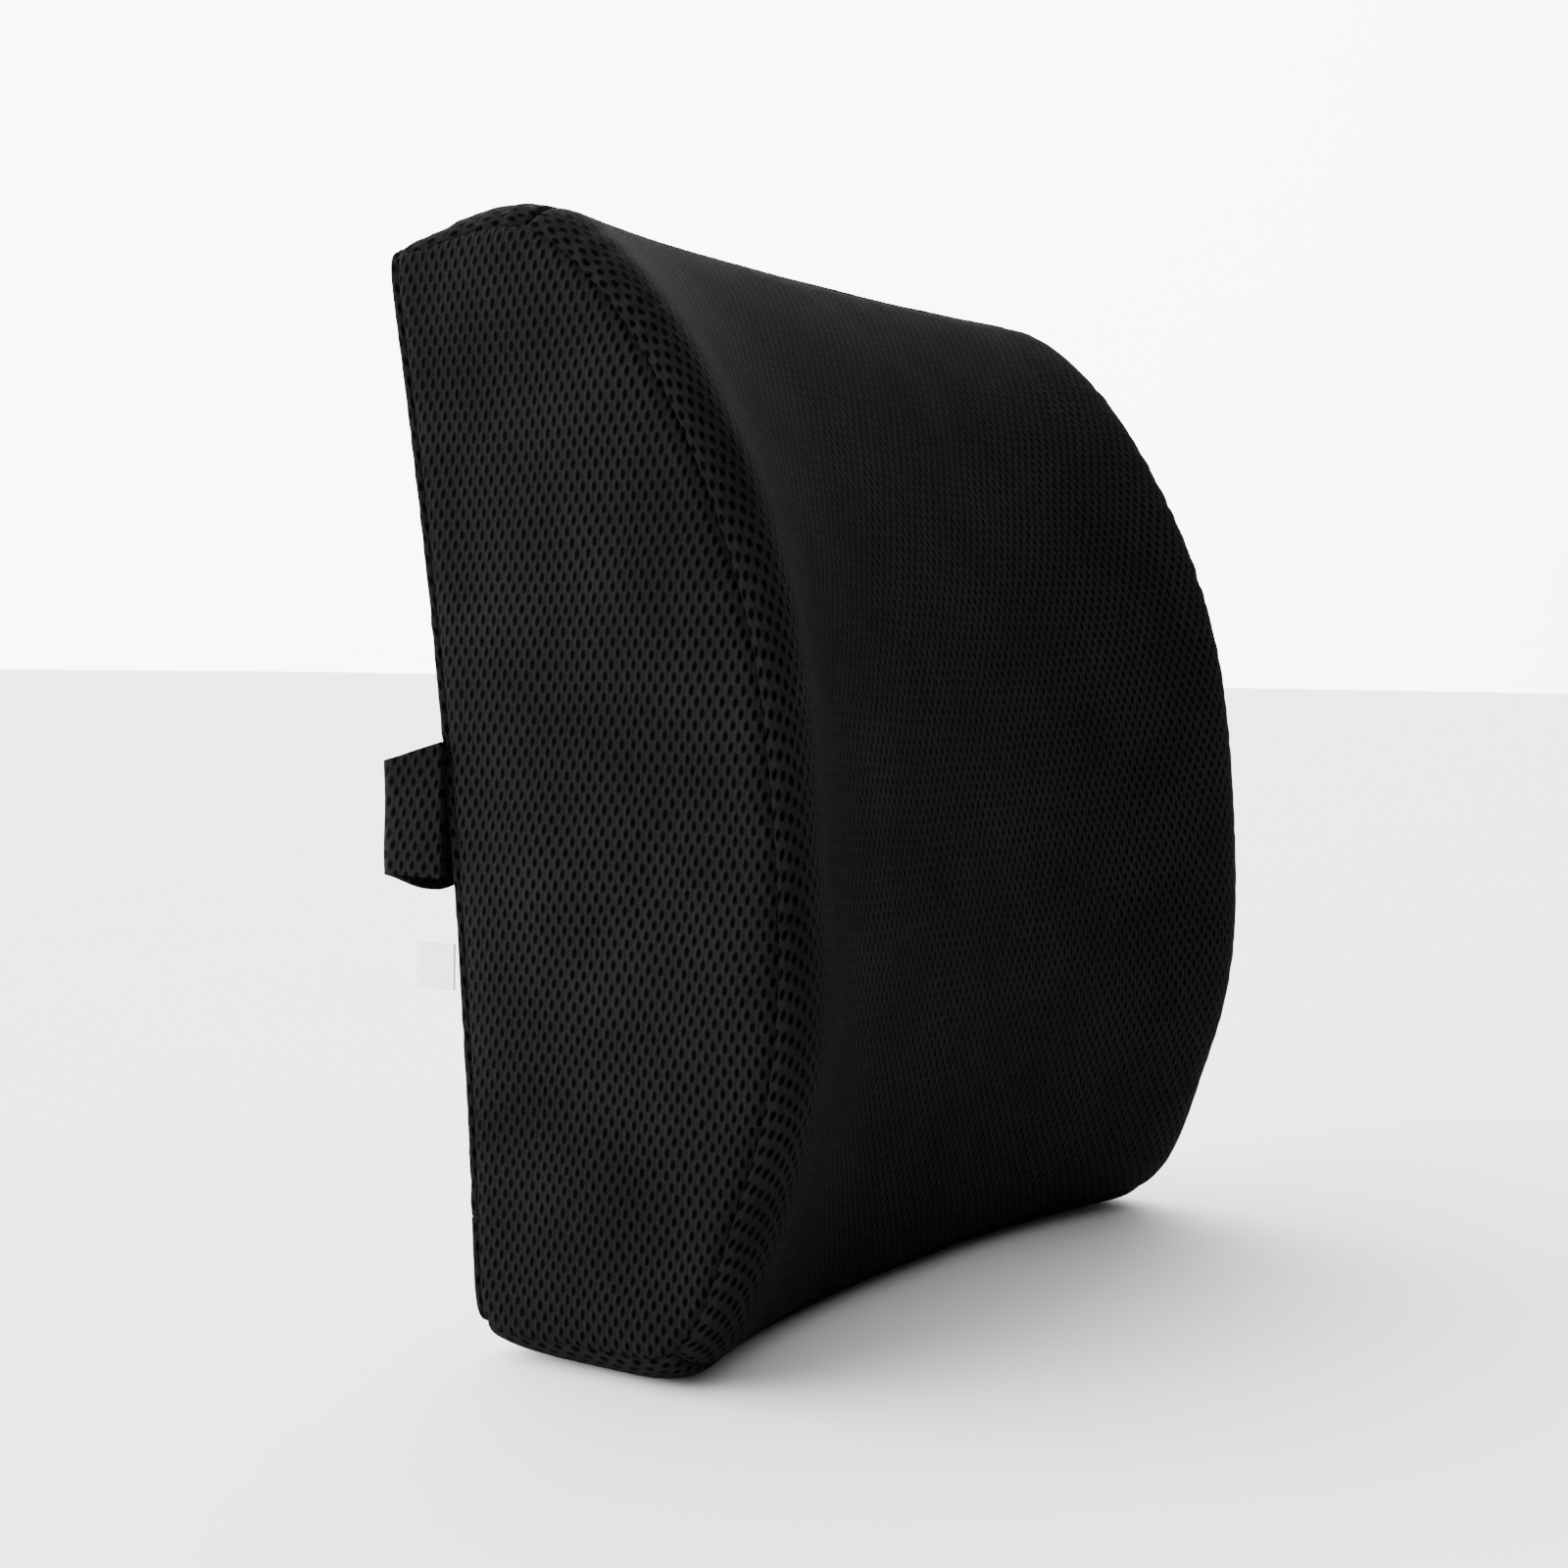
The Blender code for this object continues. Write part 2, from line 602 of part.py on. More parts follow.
def bar_piece(x, r, half):
    pts = [(x + r * math.cos(math.radians(22.5 + 45 * k)), WEB_Y + r * math.sin(math.radians(22.5 + 45 * k)))
           for k in range(8)]
    return shifted(prism(pts, STRAP_Z - half, STRAP_Z + half))


def strap_piece(name, outline, thick, origin):
    """A plastic plate on the strap's centre line; the outline is in X and Z from the strap's middle, in mm."""
    pts = [(x / 1000, STRAP_Z + z / 1000) for x, z in outline]
    return add(name, prism(pts, WEB_Y - thick / 2, WEB_Y + thick / 2, plane="XZ"), PLASTIC_BLACK, 0.45,
               smooth=False, origin=origin)


gx = -GLIDE_X
glide = strap_piece(
    "tri_glide", [(1000 * x, 1000 * z) for x, z in rounded_rect(gx - 0.0115, gx + 0.0115, -0.0235, 0.0235, 0.004)],
    0.0052, (gx, WEB_Y, STRAP_Z),
)
web_half = WEB_T / 2 + GAP
cut_all(
    glide,
    [
        box_piece(gx - 0.02, gx + 0.02, -web_half, web_half, -0.0193, 0.0193),
        box_piece(gx - 0.0080, gx + 0.0080, -0.004, 0.0, -0.0193, 0.0193),
        box_piece(gx + 0.0024, gx + 0.02, 0.0, 0.004, -0.0193, 0.0193),
        box_piece(gx - 0.02, gx - 0.0024, 0.0, 0.004, -0.0193, 0.0193),
    ],
)

# ---------------------------------------------------------------- side-release buckle
housing = strap_piece(
    "buckle_female",
    [(-36.5, -23.5), (-35, -25), (-22, -25), (-19, -22), (-5, -22), (0, -24), (12, -25), (14, -24),
     (14, 24), (12, 25), (0, 24), (-5, 22), (-19, 22), (-22, 25), (-35, 25), (-36.5, 23.5)],
    HOUSING_T, None,
)
cut_all(
    housing,
    [
        box_piece(-0.0210, 0.0200, -CAVITY_Y, CAVITY_Y, -CAVITY_Z, CAVITY_Z),
        box_piece(-0.0185, -0.0050, -CAVITY_Y, CAVITY_Y, -0.030, 0.030),
        box_piece(-0.0500, -0.0290, -0.02, 0.02, -0.0194, 0.0194),
    ],
)
join_all(housing, [bar_piece(-BAR_LEFT, BAR_R, 0.0205)])

plug = strap_piece(
    "buckle_male",
    [(14.5, -23.8), (16, -25), (26, -24.5), (40.5, -24), (40.5, 24), (26, 24.5), (16, 25), (14.5, 23.8)],
    PLUG_T, (0.0145, WEB_Y, STRAP_Z),
)
cut_all(plug, [box_piece(0.0330, 0.0500, -0.02, 0.02, -0.0194, 0.0194)])
join_all(plug, [box_piece(-0.0120, 0.0160, -0.0024, 0.0024, -0.0040, 0.0040), bar_piece(BAR_RIGHT, BAR_R, 0.0205)])

ARM = [(14.2, 8.5), (14.2, 12.5), (4, 14.2), (-5.6, 16.0), (-5.8, 20.0), (-8, 20.6), (-13.5, 19.5), (-17.6, 14.5),
       (-17.0, 11.5), (-5, 10.8), (6, 8.8)]
for sign, word in ((1, "upper"), (-1, "lower")):
    strap_piece("latch_arm_" + word, [(x, sign * z) for x, z in ARM], 0.0052,
                (0.0125, WEB_Y, STRAP_Z + sign * 0.0105))
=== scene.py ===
"""Looks for the lumbar support cushion: spacer-mesh cover, seams, strap, buckle, zipper, label, light and camera."""

import math

import bmesh
import bpy
import numpy as np
from mathutils import Matrix, Vector, noise


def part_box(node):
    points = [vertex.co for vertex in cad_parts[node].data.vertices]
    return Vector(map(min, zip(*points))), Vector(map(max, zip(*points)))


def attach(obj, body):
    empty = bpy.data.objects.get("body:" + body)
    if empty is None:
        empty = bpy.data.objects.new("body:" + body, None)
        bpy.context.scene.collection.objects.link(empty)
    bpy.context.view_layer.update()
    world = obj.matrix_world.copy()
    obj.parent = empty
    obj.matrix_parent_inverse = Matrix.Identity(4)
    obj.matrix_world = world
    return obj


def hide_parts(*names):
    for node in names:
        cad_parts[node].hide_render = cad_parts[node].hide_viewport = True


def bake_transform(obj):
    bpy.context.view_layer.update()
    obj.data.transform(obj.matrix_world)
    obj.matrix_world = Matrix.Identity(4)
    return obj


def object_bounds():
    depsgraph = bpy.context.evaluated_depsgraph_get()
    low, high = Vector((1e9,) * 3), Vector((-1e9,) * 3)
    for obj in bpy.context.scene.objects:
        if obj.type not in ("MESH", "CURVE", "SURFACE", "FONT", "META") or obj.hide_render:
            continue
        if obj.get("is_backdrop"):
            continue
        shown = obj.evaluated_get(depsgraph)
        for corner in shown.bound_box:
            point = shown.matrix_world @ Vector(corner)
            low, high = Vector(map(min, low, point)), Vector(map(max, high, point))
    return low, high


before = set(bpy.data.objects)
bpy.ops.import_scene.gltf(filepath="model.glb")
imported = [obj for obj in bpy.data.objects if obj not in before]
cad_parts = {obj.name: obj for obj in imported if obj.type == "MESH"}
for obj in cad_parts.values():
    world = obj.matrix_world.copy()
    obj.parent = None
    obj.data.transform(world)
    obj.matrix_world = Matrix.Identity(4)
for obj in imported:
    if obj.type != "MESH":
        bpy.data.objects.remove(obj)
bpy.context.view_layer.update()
ROOT = "cushion"

# ------------------------------------------------------------------ the cushion's surface, as the design defines it
H, W, EDGE_R = 0.330, 0.3054, 0.0138
LEAN, BACK_BOW = -0.0386, 0.0066
HOLLOW = (0.215, 0.237, 0.232)
HOLLOW_POWER, TOP_SAG, SIDE_BULGE = 2.52, 0.0008, 0.0020
EDGE_BACK = 0.0065
EDGE_Q, EDGE_V = (0.0, 0.12, 0.45, 0.75, 0.95), (0.0090, 0.0090, 0.0058, 0.0091, 0.0096)
LAST_PHI = math.radians(84.6)
FRONT_DEPTH = (0.0761, 0.0933, 0.1088, 0.1217, 0.1266, 0.1249, 0.1244, 0.1181, 0.1031, 0.0928)
FRONT_Z = (0.325, 0.307, 0.277, 0.238, 0.198, 0.158, 0.119, 0.079, 0.043, 0.0165)
BACK_Z = (0.0100, 0.030, 0.070, 0.120, 0.165, 0.210, 0.260, 0.300, 0.3205)
TOP_POINTS = ((0.005, 0.3268), (0.020, 0.3286), (0.0395, 0.3356), (0.0624, 0.3346))
BASE_POINTS = ((0.0760, 0.0), (0.055, 0.0), (0.036, 0.0), (0.018, 0.0008), (0.006, 0.0036))
CTRL = np.array([(0.0, z) for z in BACK_Z] + list(TOP_POINTS) + list(zip(FRONT_DEPTH, FRONT_Z)) + list(BASE_POINTS))
NC = len(CTRL)
XC = W / 2 - EDGE_R
T_FOOT, T_TOP, T_CROSS, T_BASE = -0.55, 9.0, 12.0, 22.7

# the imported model's place gives the depth offset: the back panel's rearmost point is the design's
MID_Y = 0.0
back_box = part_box("back_panel_upper")


def profile(t):
    t = np.mod(np.asarray(t, float), NC)
    i = np.floor(t).astype(int)
    u = (t - i)[..., None]
    p = [CTRL[(i + k) % NC] for k in (-1, 0, 1, 2)]
    b = ((1 - u) ** 3, 3 * u**3 - 6 * u**2 + 4, -3 * u**3 + 3 * u**2 + 3 * u + 1, u**3)
    d = (-3 * (1 - u) ** 2, 9 * u**2 - 12 * u, -9 * u**2 + 6 * u + 3, 3 * u**2)
    pos = sum(w * q for w, q in zip(b, p)) / 6
    tan = sum(w * q for w, q in zip(d, p)) / 6
    tan /= np.linalg.norm(tan, axis=-1, keepdims=True)
    return pos[..., 0], pos[..., 1], -tan[..., 1], tan[..., 0]


def back_offset(z):
    q = z / H
    return LEAN * (q - 0.5) + BACK_BOW * 4 * q * (1 - q)


def surface(x, phi, t, d=0.0):
    """Points on the cushion, d below its outer face; x, phi and t broadcast."""
    x, phi, t = np.broadcast_arrays(np.asarray(x, float), np.asarray(phi, float), np.asarray(t, float))
    f, z, nf, nz = profile(t)
    q = np.clip(z / H, 0, 1)
    front = np.interp(q, EDGE_Q, EDGE_V)
    rs = EDGE_BACK + (front - EDGE_BACK) * np.clip((f - 0.012) / 0.028, 0, 1)
    hollow = HOLLOW[0] * (1 - q) * (1 - 2 * q) + HOLLOW[1] * 4 * q * (1 - q) + HOLLOW[2] * q * (2 * q - 1)
    flat = np.abs(phi) < 1e-9
    g = np.where(flat, np.maximum(0.0, 1 - (np.abs(x) / XC) ** HOLLOW_POWER), 0.0)
    de = np.where(flat, 0.0, 1 - np.cos(phi))
    px = np.where(flat, x, np.sign(phi) * (XC + (EDGE_R - d) * np.sin(np.abs(phi))))
    inset = d + np.maximum(rs - d, 0.001) * de
    y = f * (1 - hollow * g) - nf * inset
    zz = z - nz * inset + g * TOP_SAG * q**6
    return np.stack([px, -(y + back_offset(z)) + MID_Y, zz], -1)


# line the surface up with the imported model
probe = surface(0.0, 0.0, np.linspace(T_FOOT, T_TOP, 400))
MID_Y = back_box[1][1] - float(probe[:, 1].max())


# ------------------------------------------------------------------ small helpers
def collect(name, verts, faces, uvs=None, smooth=True, mat=None):
    me = bpy.data.meshes.new(name)
    me.from_pydata([tuple(v) for v in verts], [], faces)
    if uvs is not None:
        layer = me.uv_layers.new(name="weave")
        idx = np.empty(len(me.loops), int)
        me.loops.foreach_get("vertex_index", idx)
        layer.data.foreach_set("uv", np.asarray(uvs, np.float32)[idx].ravel())
    if smooth:
        me.shade_smooth()
    ob = bpy.data.objects.new(name, me)
    bpy.context.scene.collection.objects.link(ob)
    if mat:
        me.materials.append(mat)
    return ob


def smooth_rows(P, sigma):
    """Gaussian smoothing along the first axis that leaves both ends where they are."""
    n = int(3 * sigma) + 1
    k = np.exp(-0.5 * (np.arange(-n, n + 1) / sigma) ** 2)
    k /= k.sum()
    lo = 2 * P[:1] - P[n:0:-1]
    hi = 2 * P[-1:] - P[-2 : -n - 2 : -1]
    E = np.concatenate([lo, P, hi])
    out = np.zeros_like(P)
    for a in range(2 * n + 1):
        out += k[a] * E[a : a + len(P)]
    out[0], out[-1] = P[0], P[-1]
    return out


def normals(P):
    du = np.gradient(P, axis=0)
    dv = np.gradient(P, axis=1)
    N = -np.cross(du, dv)
    N /= np.maximum(np.linalg.norm(N, axis=-1, keepdims=True), 1e-12)
    return N


def arc(P, axis):
    d = np.linalg.norm(np.diff(P, axis=axis), axis=-1)
    shape = list(P.shape[:2])
    out = np.zeros(shape)
    if axis == 0:
        out[1:] = np.cumsum(d, 0)
    else:
        out[:, 1:] = np.cumsum(d, 1)
    return out


def pnoise(P, scale, seed):
    """Smooth noise from -1 to 1 at each point, evaluated on a coarse copy of the grid points."""
    flat = P.reshape(-1, 3)
    off = Vector((seed * 13.7, seed * 7.1, seed * 3.3))
    vals = np.array([noise.noise(Vector((float(a[0]), float(a[1]), float(a[2]))) * scale + off) for a in flat])
    return vals.reshape(P.shape[:2])


def closed_grid(name, outer, N, thick, uv, mat, depths=(0.0007, 0.0014), inset=0.00045):
    """Closed body: an outer grid, an edge that turns down into the seam, and an inner grid at the cloth's thickness."""
    R, C = outer.shape[:2]
    n = R * C
    ids = np.arange(n).reshape(R, C)
    loop = np.concatenate([ids[0, :], ids[1:, -1], ids[-1, -2::-1], ids[-2:0:-1, 0]])
    flat, nf = outer.reshape(-1, 3).copy(), N.reshape(-1, 3)
    # pull the edge back a little from the seam, towards the neighbour one step inside
    ins = np.zeros((R, C, 3))
    for edge, near in (((0, slice(None)), (1, slice(None))), ((-1, slice(None)), (-2, slice(None))),
                       ((slice(None), 0), (slice(None), 1)), ((slice(None), -1), (slice(None), -2))):
        v = outer[near] - outer[edge]
        ins[edge] += v / np.maximum(np.linalg.norm(v, axis=-1, keepdims=True), 1e-9)
    flat += ins.reshape(-1, 3) * inset
    inner = flat - nf * thick
    rings = [flat[loop] - nf[loop] * d for d in depths]
    L = len(loop)
    verts = np.concatenate([flat, *rings, inner])
    u = uv.reshape(-1, 2)
    uvs = np.concatenate([u, *[u[loop] for _ in rings], u])
    a, b, c, d = ids[:-1, :-1], ids[1:, :-1], ids[1:, 1:], ids[:-1, 1:]
    faces = [np.stack([a, b, c, d], -1).reshape(-1, 4)]
    base = n + L * len(rings)
    faces.append(np.stack([d, c, b, a], -1).reshape(-1, 4) + base)
    loops = [loop] + [np.arange(L) + n + k * L for k in range(len(rings))] + [loop + base]
    for p, q in zip(loops, loops[1:]):
        faces.append(np.stack([p, np.roll(p, -1), np.roll(q, -1), q], -1))
    ob = collect(name, verts, np.concatenate(faces).tolist(), uvs, True, mat)
    bm = bmesh.new()
    bm.from_mesh(ob.data)
    bmesh.ops.recalc_face_normals(bm, faces=bm.faces)
    bm.to_mesh(ob.data)
    bm.free()
    return ob


# ------------------------------------------------------------------ materials
def new_mat(name):
    m = bpy.data.materials.new(name)
    m.use_nodes = True
    nt = m.node_tree
    nt.nodes.clear()
    out = nt.nodes.new("ShaderNodeOutputMaterial")
    p = nt.nodes.new("ShaderNodeBsdfPrincipled")
    nt.links.new(p.outputs[0], out.inputs[0])
    return m, nt, p


def node(nt, kind, **props):
    n = nt.nodes.new(kind)
    for k, v in props.items():
        setattr(n, k, v)
    return n


def vmath(nt, op, a, b=None):
    n = node(nt, "ShaderNodeVectorMath", operation=op)
    for k, v in enumerate((a, b)):
        if v is None:
            continue
        if isinstance(v, tuple):
            n.inputs[k].default_value = v
        else:
            nt.links.new(v, n.inputs[k])
    return n.outputs["Value"] if op in ("LENGTH", "DOT_PRODUCT", "DISTANCE") else n.outputs["Vector"]


def math_(nt, op, a, b=None, c=None, clamp=False):
    n = node(nt, "ShaderNodeMath", operation=op)
    n.use_clamp = clamp
    for k, v in enumerate((a, b, c)):
        if v is None:
            continue
        if isinstance(v, (int, float)):
            n.inputs[k].default_value = v
        else:
            nt.links.new(v, n.inputs[k])
    return n.outputs[0]


def ramp(nt, v, lo, hi, a=0.0, b=1.0, smooth=True):
    n = node(nt, "ShaderNodeMapRange")
    if smooth:
        n.interpolation_type = "SMOOTHSTEP"
    nt.links.new(v, n.inputs["Value"])
    n.inputs["From Min"].default_value, n.inputs["From Max"].default_value = lo, hi
    n.inputs["To Min"].default_value, n.inputs["To Max"].default_value = a, b
    return n.outputs["Result"]


def mix(nt, fac, a, b):
    n = node(nt, "ShaderNodeMix", data_type="RGBA")
    if isinstance(fac, (int, float)):
        n.inputs["Factor"].default_value = fac
    else:
        nt.links.new(fac, n.inputs["Factor"])
    for s, v in (("A", a), ("B", b)):
        i = [k for k in n.inputs if k.name == s and k.type == "RGBA"][0]
        if isinstance(v, tuple):
            i.default_value = (*v, 1.0)
        else:
            nt.links.new(v, i)
    return [o for o in n.outputs if o.type == "RGBA"][0]


def tex_noise(nt, vec, scale, detail=2.0, rough=0.5):
    n = node(nt, "ShaderNodeTexNoise")
    nt.links.new(vec, n.inputs["Vector"])
    n.inputs["Scale"].default_value = scale
    n.inputs["Detail"].default_value = detail
    n.inputs["Roughness"].default_value = rough
    return n.outputs["Fac"]


def bump(nt, p, height, dist, strength=1.0):
    b = node(nt, "ShaderNodeBump")
    b.inputs["Strength"].default_value = strength
    b.inputs["Distance"].default_value = dist
    nt.links.new(height, b.inputs["Height"])
    nt.links.new(b.outputs["Normal"], p.inputs["Normal"])


def uv_vec(nt):
    u = node(nt, "ShaderNodeUVMap")
    u.uv_map = "weave"
    return u.outputs["UV"]


def obj_vec(nt):
    return node(nt, "ShaderNodeTexCoord").outputs["Object"]


PITCH_U, PITCH_V = 0.0040, 0.0062  # staggered holes: across, and along the wales
HOLE_U, HOLE_V = 0.00066, 0.00125  # half axes of a hole


def spacer_mesh(name, yarn=(0.0062, 0.0061, 0.0060), hole_shade=(0.0002, 0.0002, 0.0002), sheen=0.004, skew=0.10):
    m, nt, p = new_mat(name)
    uv = uv_vec(nt)
    # a slight drift of the wales, as a stretched knit has
    wob = node(nt, "ShaderNodeTexNoise")
    nt.links.new(uv, wob.inputs["Vector"])
    wob.inputs["Scale"].default_value = 45.0
    wob.inputs["Detail"].default_value = 1.0
    drift = vmath(nt, "SCALE", vmath(nt, "SUBTRACT", wob.outputs["Color"], (0.5, 0.5, 0.5)))
    drift.node.inputs["Scale"].default_value = 0.0022
    sep = node(nt, "ShaderNodeSeparateXYZ")
    nt.links.new(vmath(nt, "ADD", uv, drift), sep.inputs[0])
    u = math_(nt, "ADD", math_(nt, "MULTIPLY", sep.outputs[1], -skew), sep.outputs[0])
    comb = node(nt, "ShaderNodeCombineXYZ")
    nt.links.new(math_(nt, "DIVIDE", u, PITCH_U), comb.inputs[0])
    nt.links.new(math_(nt, "DIVIDE", sep.outputs[1], PITCH_V), comb.inputs[1])
    cell = comb.outputs[0]
    stretch = (PITCH_U / HOLE_U, PITCH_V / HOLE_V, 0.0)
    dist = []
    for shift in ((0.0, 0.0, 0.0), (0.5, 0.5, 0.0)):
        fr = vmath(nt, "FRACTION", vmath(nt, "ADD", cell, shift))
        dist.append(vmath(nt, "LENGTH", vmath(nt, "MULTIPLY", vmath(nt, "SUBTRACT", fr, (0.5, 0.5, 0.0)), stretch)))
    r = math_(nt, "MINIMUM", dist[0], dist[1])
    fibre_vec = vmath(nt, "MULTIPLY", uv, (5200.0, 1500.0, 1.0))
    fibre = tex_noise(nt, fibre_vec, 1.0, 2.0, 0.6)
    r = math_(nt, "ADD", r, math_(nt, "MULTIPLY", math_(nt, "SUBTRACT", fibre, 0.5), 0.9))
    open_ = ramp(nt, r, 0.70, 1.45)
    # ribs run between the hole columns, with small loops along them
    sc = node(nt, "ShaderNodeSeparateXYZ")
    nt.links.new(cell, sc.inputs[0])
    rib = math_(nt, "MULTIPLY_ADD", math_(nt, "COSINE", math_(nt, "MULTIPLY", sc.outputs[0], 4 * math.pi)), -0.5, 0.5)
    loops = math_(nt, "SINE", math_(nt, "ADD", math_(nt, "MULTIPLY", sc.outputs[1], 2 * math.pi * 6),
                                    math_(nt, "MULTIPLY", sc.outputs[0], 2 * math.pi * 2)))
    h = math_(nt, "ADD", math_(nt, "MULTIPLY", open_, 0.62), math_(nt, "MULTIPLY", rib, 0.20))
    h = math_(nt, "ADD", h, math_(nt, "MULTIPLY", loops, 0.05))
    h = math_(nt, "ADD", h, math_(nt, "MULTIPLY", fibre, 0.20))
    tone = tex_noise(nt, obj_vec(nt), 22.0, 3.0, 0.55)
    light = tuple(c * 1.45 for c in yarn)
    dark = tuple(c * 0.6 for c in yarn)
    ycol = mix(nt, math_(nt, "ADD", math_(nt, "MULTIPLY", ramp(nt, tone, 0.3, 0.7, smooth=False), 0.55),
                         math_(nt, "MULTIPLY", fibre, 0.45), clamp=True), dark, light)
    # painted shade: the holes are coloured near black, far darker than the black yarn, for the shade inside them; the
    # yarn's own tone varies at random
    col = mix(nt, open_, hole_shade, ycol)
    nt.links.new(col, p.inputs["Base Color"])
    nt.links.new(ramp(nt, fibre, 0.2, 0.8, 0.74, 0.92), p.inputs["Roughness"])
    p.inputs["Specular IOR Level"].default_value = 0.012
    p.inputs["Sheen Weight"].default_value = sheen
    p.inputs["Sheen Roughness"].default_value = 0.45
    p.inputs["Sheen Tint"].default_value = (0.62, 0.62, 0.64, 1.0)
    bump(nt, p, h, 0.0011, 1.0)
    return m


def woven(name, dark, light, pitch_u, pitch_v, depth=0.0003, sheen=0.006, rough=0.75, spec=0.02):
    """Ribbed tape or satin: picks across, warp along."""
    m, nt, p = new_mat(name)
    uv = uv_vec(nt)
    sep = node(nt, "ShaderNodeSeparateXYZ")
    nt.links.new(uv, sep.inputs[0])
    a = math_(nt, "SINE", math_(nt, "MULTIPLY", sep.outputs[0], 2 * math.pi / pitch_u))
    b = math_(nt, "SINE", math_(nt, "MULTIPLY", sep.outputs[1], 2 * math.pi / pitch_v))
    ab = math_(nt, "MULTIPLY", a, b)
    fibre = tex_noise(nt, vmath(nt, "MULTIPLY", uv, (2500.0, 6000.0, 1.0)), 1.0, 2.0, 0.6)
    h = math_(nt, "ADD", math_(nt, "MULTIPLY_ADD", ab, 0.35, 0.5), math_(nt, "MULTIPLY", fibre, 0.3))
    tone = tex_noise(nt, obj_vec(nt), 60.0, 2.0, 0.5)
    # painted shade and highlight: the colour follows the weave's height, darker in its low places and lighter on the
    # raised crossings, with a random tone on top
    fac = math_(nt, "MULTIPLY", h, math_(nt, "MULTIPLY_ADD", tone, 0.6, 0.7), clamp=True)
    nt.links.new(mix(nt, fac, dark, light), p.inputs["Base Color"])
    nt.links.new(ramp(nt, fibre, 0.2, 0.8, rough - 0.08, rough + 0.1), p.inputs["Roughness"])
    p.inputs["Sheen Weight"].default_value = sheen
    p.inputs["Sheen Roughness"].default_value = 0.4
    p.inputs["Specular IOR Level"].default_value = spec
    bump(nt, p, h, depth)
    return m


def plastic(name, dark, light, rough, metal=0.0, grain=2200.0, depth=0.00006, spec=0.09):
    """Moulded or lacquered surface: fine grain, slow gloss variation and faint scuffs."""
    m, nt, p = new_mat(name)
    ov = obj_vec(nt)
    slow = tex_noise(nt, ov, 60.0, 3.0, 0.5)
    fine = tex_noise(nt, ov, grain, 2.0, 0.6)
    scuff = ramp(nt, tex_noise(nt, vmath(nt, "MULTIPLY", ov, (420.0, 160.0, 900.0)), 1.0, 4.0, 0.7), 0.62, 0.76)
    base = mix(nt, slow, dark, tuple(c * 1.35 for c in dark))
    nt.links.new(mix(nt, math_(nt, "MULTIPLY", scuff, 0.35), base, light), p.inputs["Base Color"])
    rr = math_(nt, "ADD", math_(nt, "MULTIPLY_ADD", slow, 0.14, rough - 0.07), math_(nt, "MULTIPLY", scuff, 0.12))
    nt.links.new(rr, p.inputs["Roughness"])
    p.inputs["Metallic"].default_value = metal
    p.inputs["Specular IOR Level"].default_value = spec
    bump(nt, p, math_(nt, "ADD", fine, math_(nt, "MULTIPLY", scuff, 0.5)), depth)
    return m


def foam_mat(name):
    m, nt, p = new_mat(name)
    ov = obj_vec(nt)
    v = node(nt, "ShaderNodeTexVoronoi")
    nt.links.new(ov, v.inputs["Vector"])
    v.inputs["Scale"].default_value = 650.0
    pores = ramp(nt, v.outputs["Distance"], 0.15, 0.6)
    tone = tex_noise(nt, ov, 18.0, 3.0, 0.5)
    base = mix(nt, tone, (0.70, 0.64, 0.48), (0.84, 0.80, 0.68))
    # painted shade: the pores, which are also the bump's hollows, are coloured darker for the shade inside the cells
    nt.links.new(mix(nt, pores, (0.52, 0.46, 0.34), base), p.inputs["Base Color"])
    nt.links.new(ramp(nt, tone, 0.2, 0.8, 0.86, 0.96), p.inputs["Roughness"])
    p.inputs["Specular IOR Level"].default_value = 0.2
    bump(nt, p, pores, 0.0004)
    return m


MESH = spacer_mesh("spacer_mesh")
MESH_STRAP = spacer_mesh("spacer_mesh_strap", sheen=0.004, skew=-0.15)
WEBBING = woven("webbing_weave", (0.0025, 0.0025, 0.0026), (0.0130, 0.0130, 0.0134), 0.0022, 0.0011)
TAPE = woven("zipper_tape_weave", (0.0020, 0.0020, 0.0021), (0.0100, 0.0100, 0.0104), 0.0008, 0.0009, 0.00012)
LINER = woven("liner_knit", (0.50, 0.50, 0.48), (0.82, 0.82, 0.80), 0.0010, 0.0013, 0.0002, 0.05, 0.85, 0.2)
SATIN = woven("label_satin", (0.70, 0.70, 0.69), (0.93, 0.93, 0.92), 0.0006, 0.00035, 0.00006, 0.1, 0.55, 0.3)
THREAD = woven("thread_twist", (0.002, 0.002, 0.002), (0.0090, 0.0090, 0.0092), 0.0004, 0.0004, 0.0001, 0.004, 0.6)
BUCKLE = plastic("buckle_acetal", (0.0050, 0.0050, 0.0052), (0.0180, 0.0180, 0.0185), 0.42)
COIL = plastic("coil_nylon", (0.0050, 0.0050, 0.0052), (0.0180, 0.0180, 0.0185), 0.36, grain=4000.0, depth=0.00003)
ZINC = plastic("zinc_lacquer", (0.020, 0.020, 0.021), (0.22, 0.21, 0.20), 0.30, metal=0.85, depth=0.00002)
STOP = plastic("stop_metal", (0.10, 0.10, 0.103), (0.24, 0.24, 0.24), 0.32, metal=1.0, depth=0.00002)
FOAM = foam_mat("memory_foam")

# ------------------------------------------------------------------ cover panels
STEP = 0.0021
N_PHI = 12
phis = np.linspace(LAST_PHI, 0, N_PHI + 1)[:-1]
mid = np.linspace(-XC, XC, int(2 * XC / STEP) + 1)
ROW_X = np.concatenate([np.full(N_PHI, -XC), mid, np.full(N_PHI, XC)])
ROW_PHI = np.concatenate([-phis, np.zeros(len(mid)), phis[::-1]])


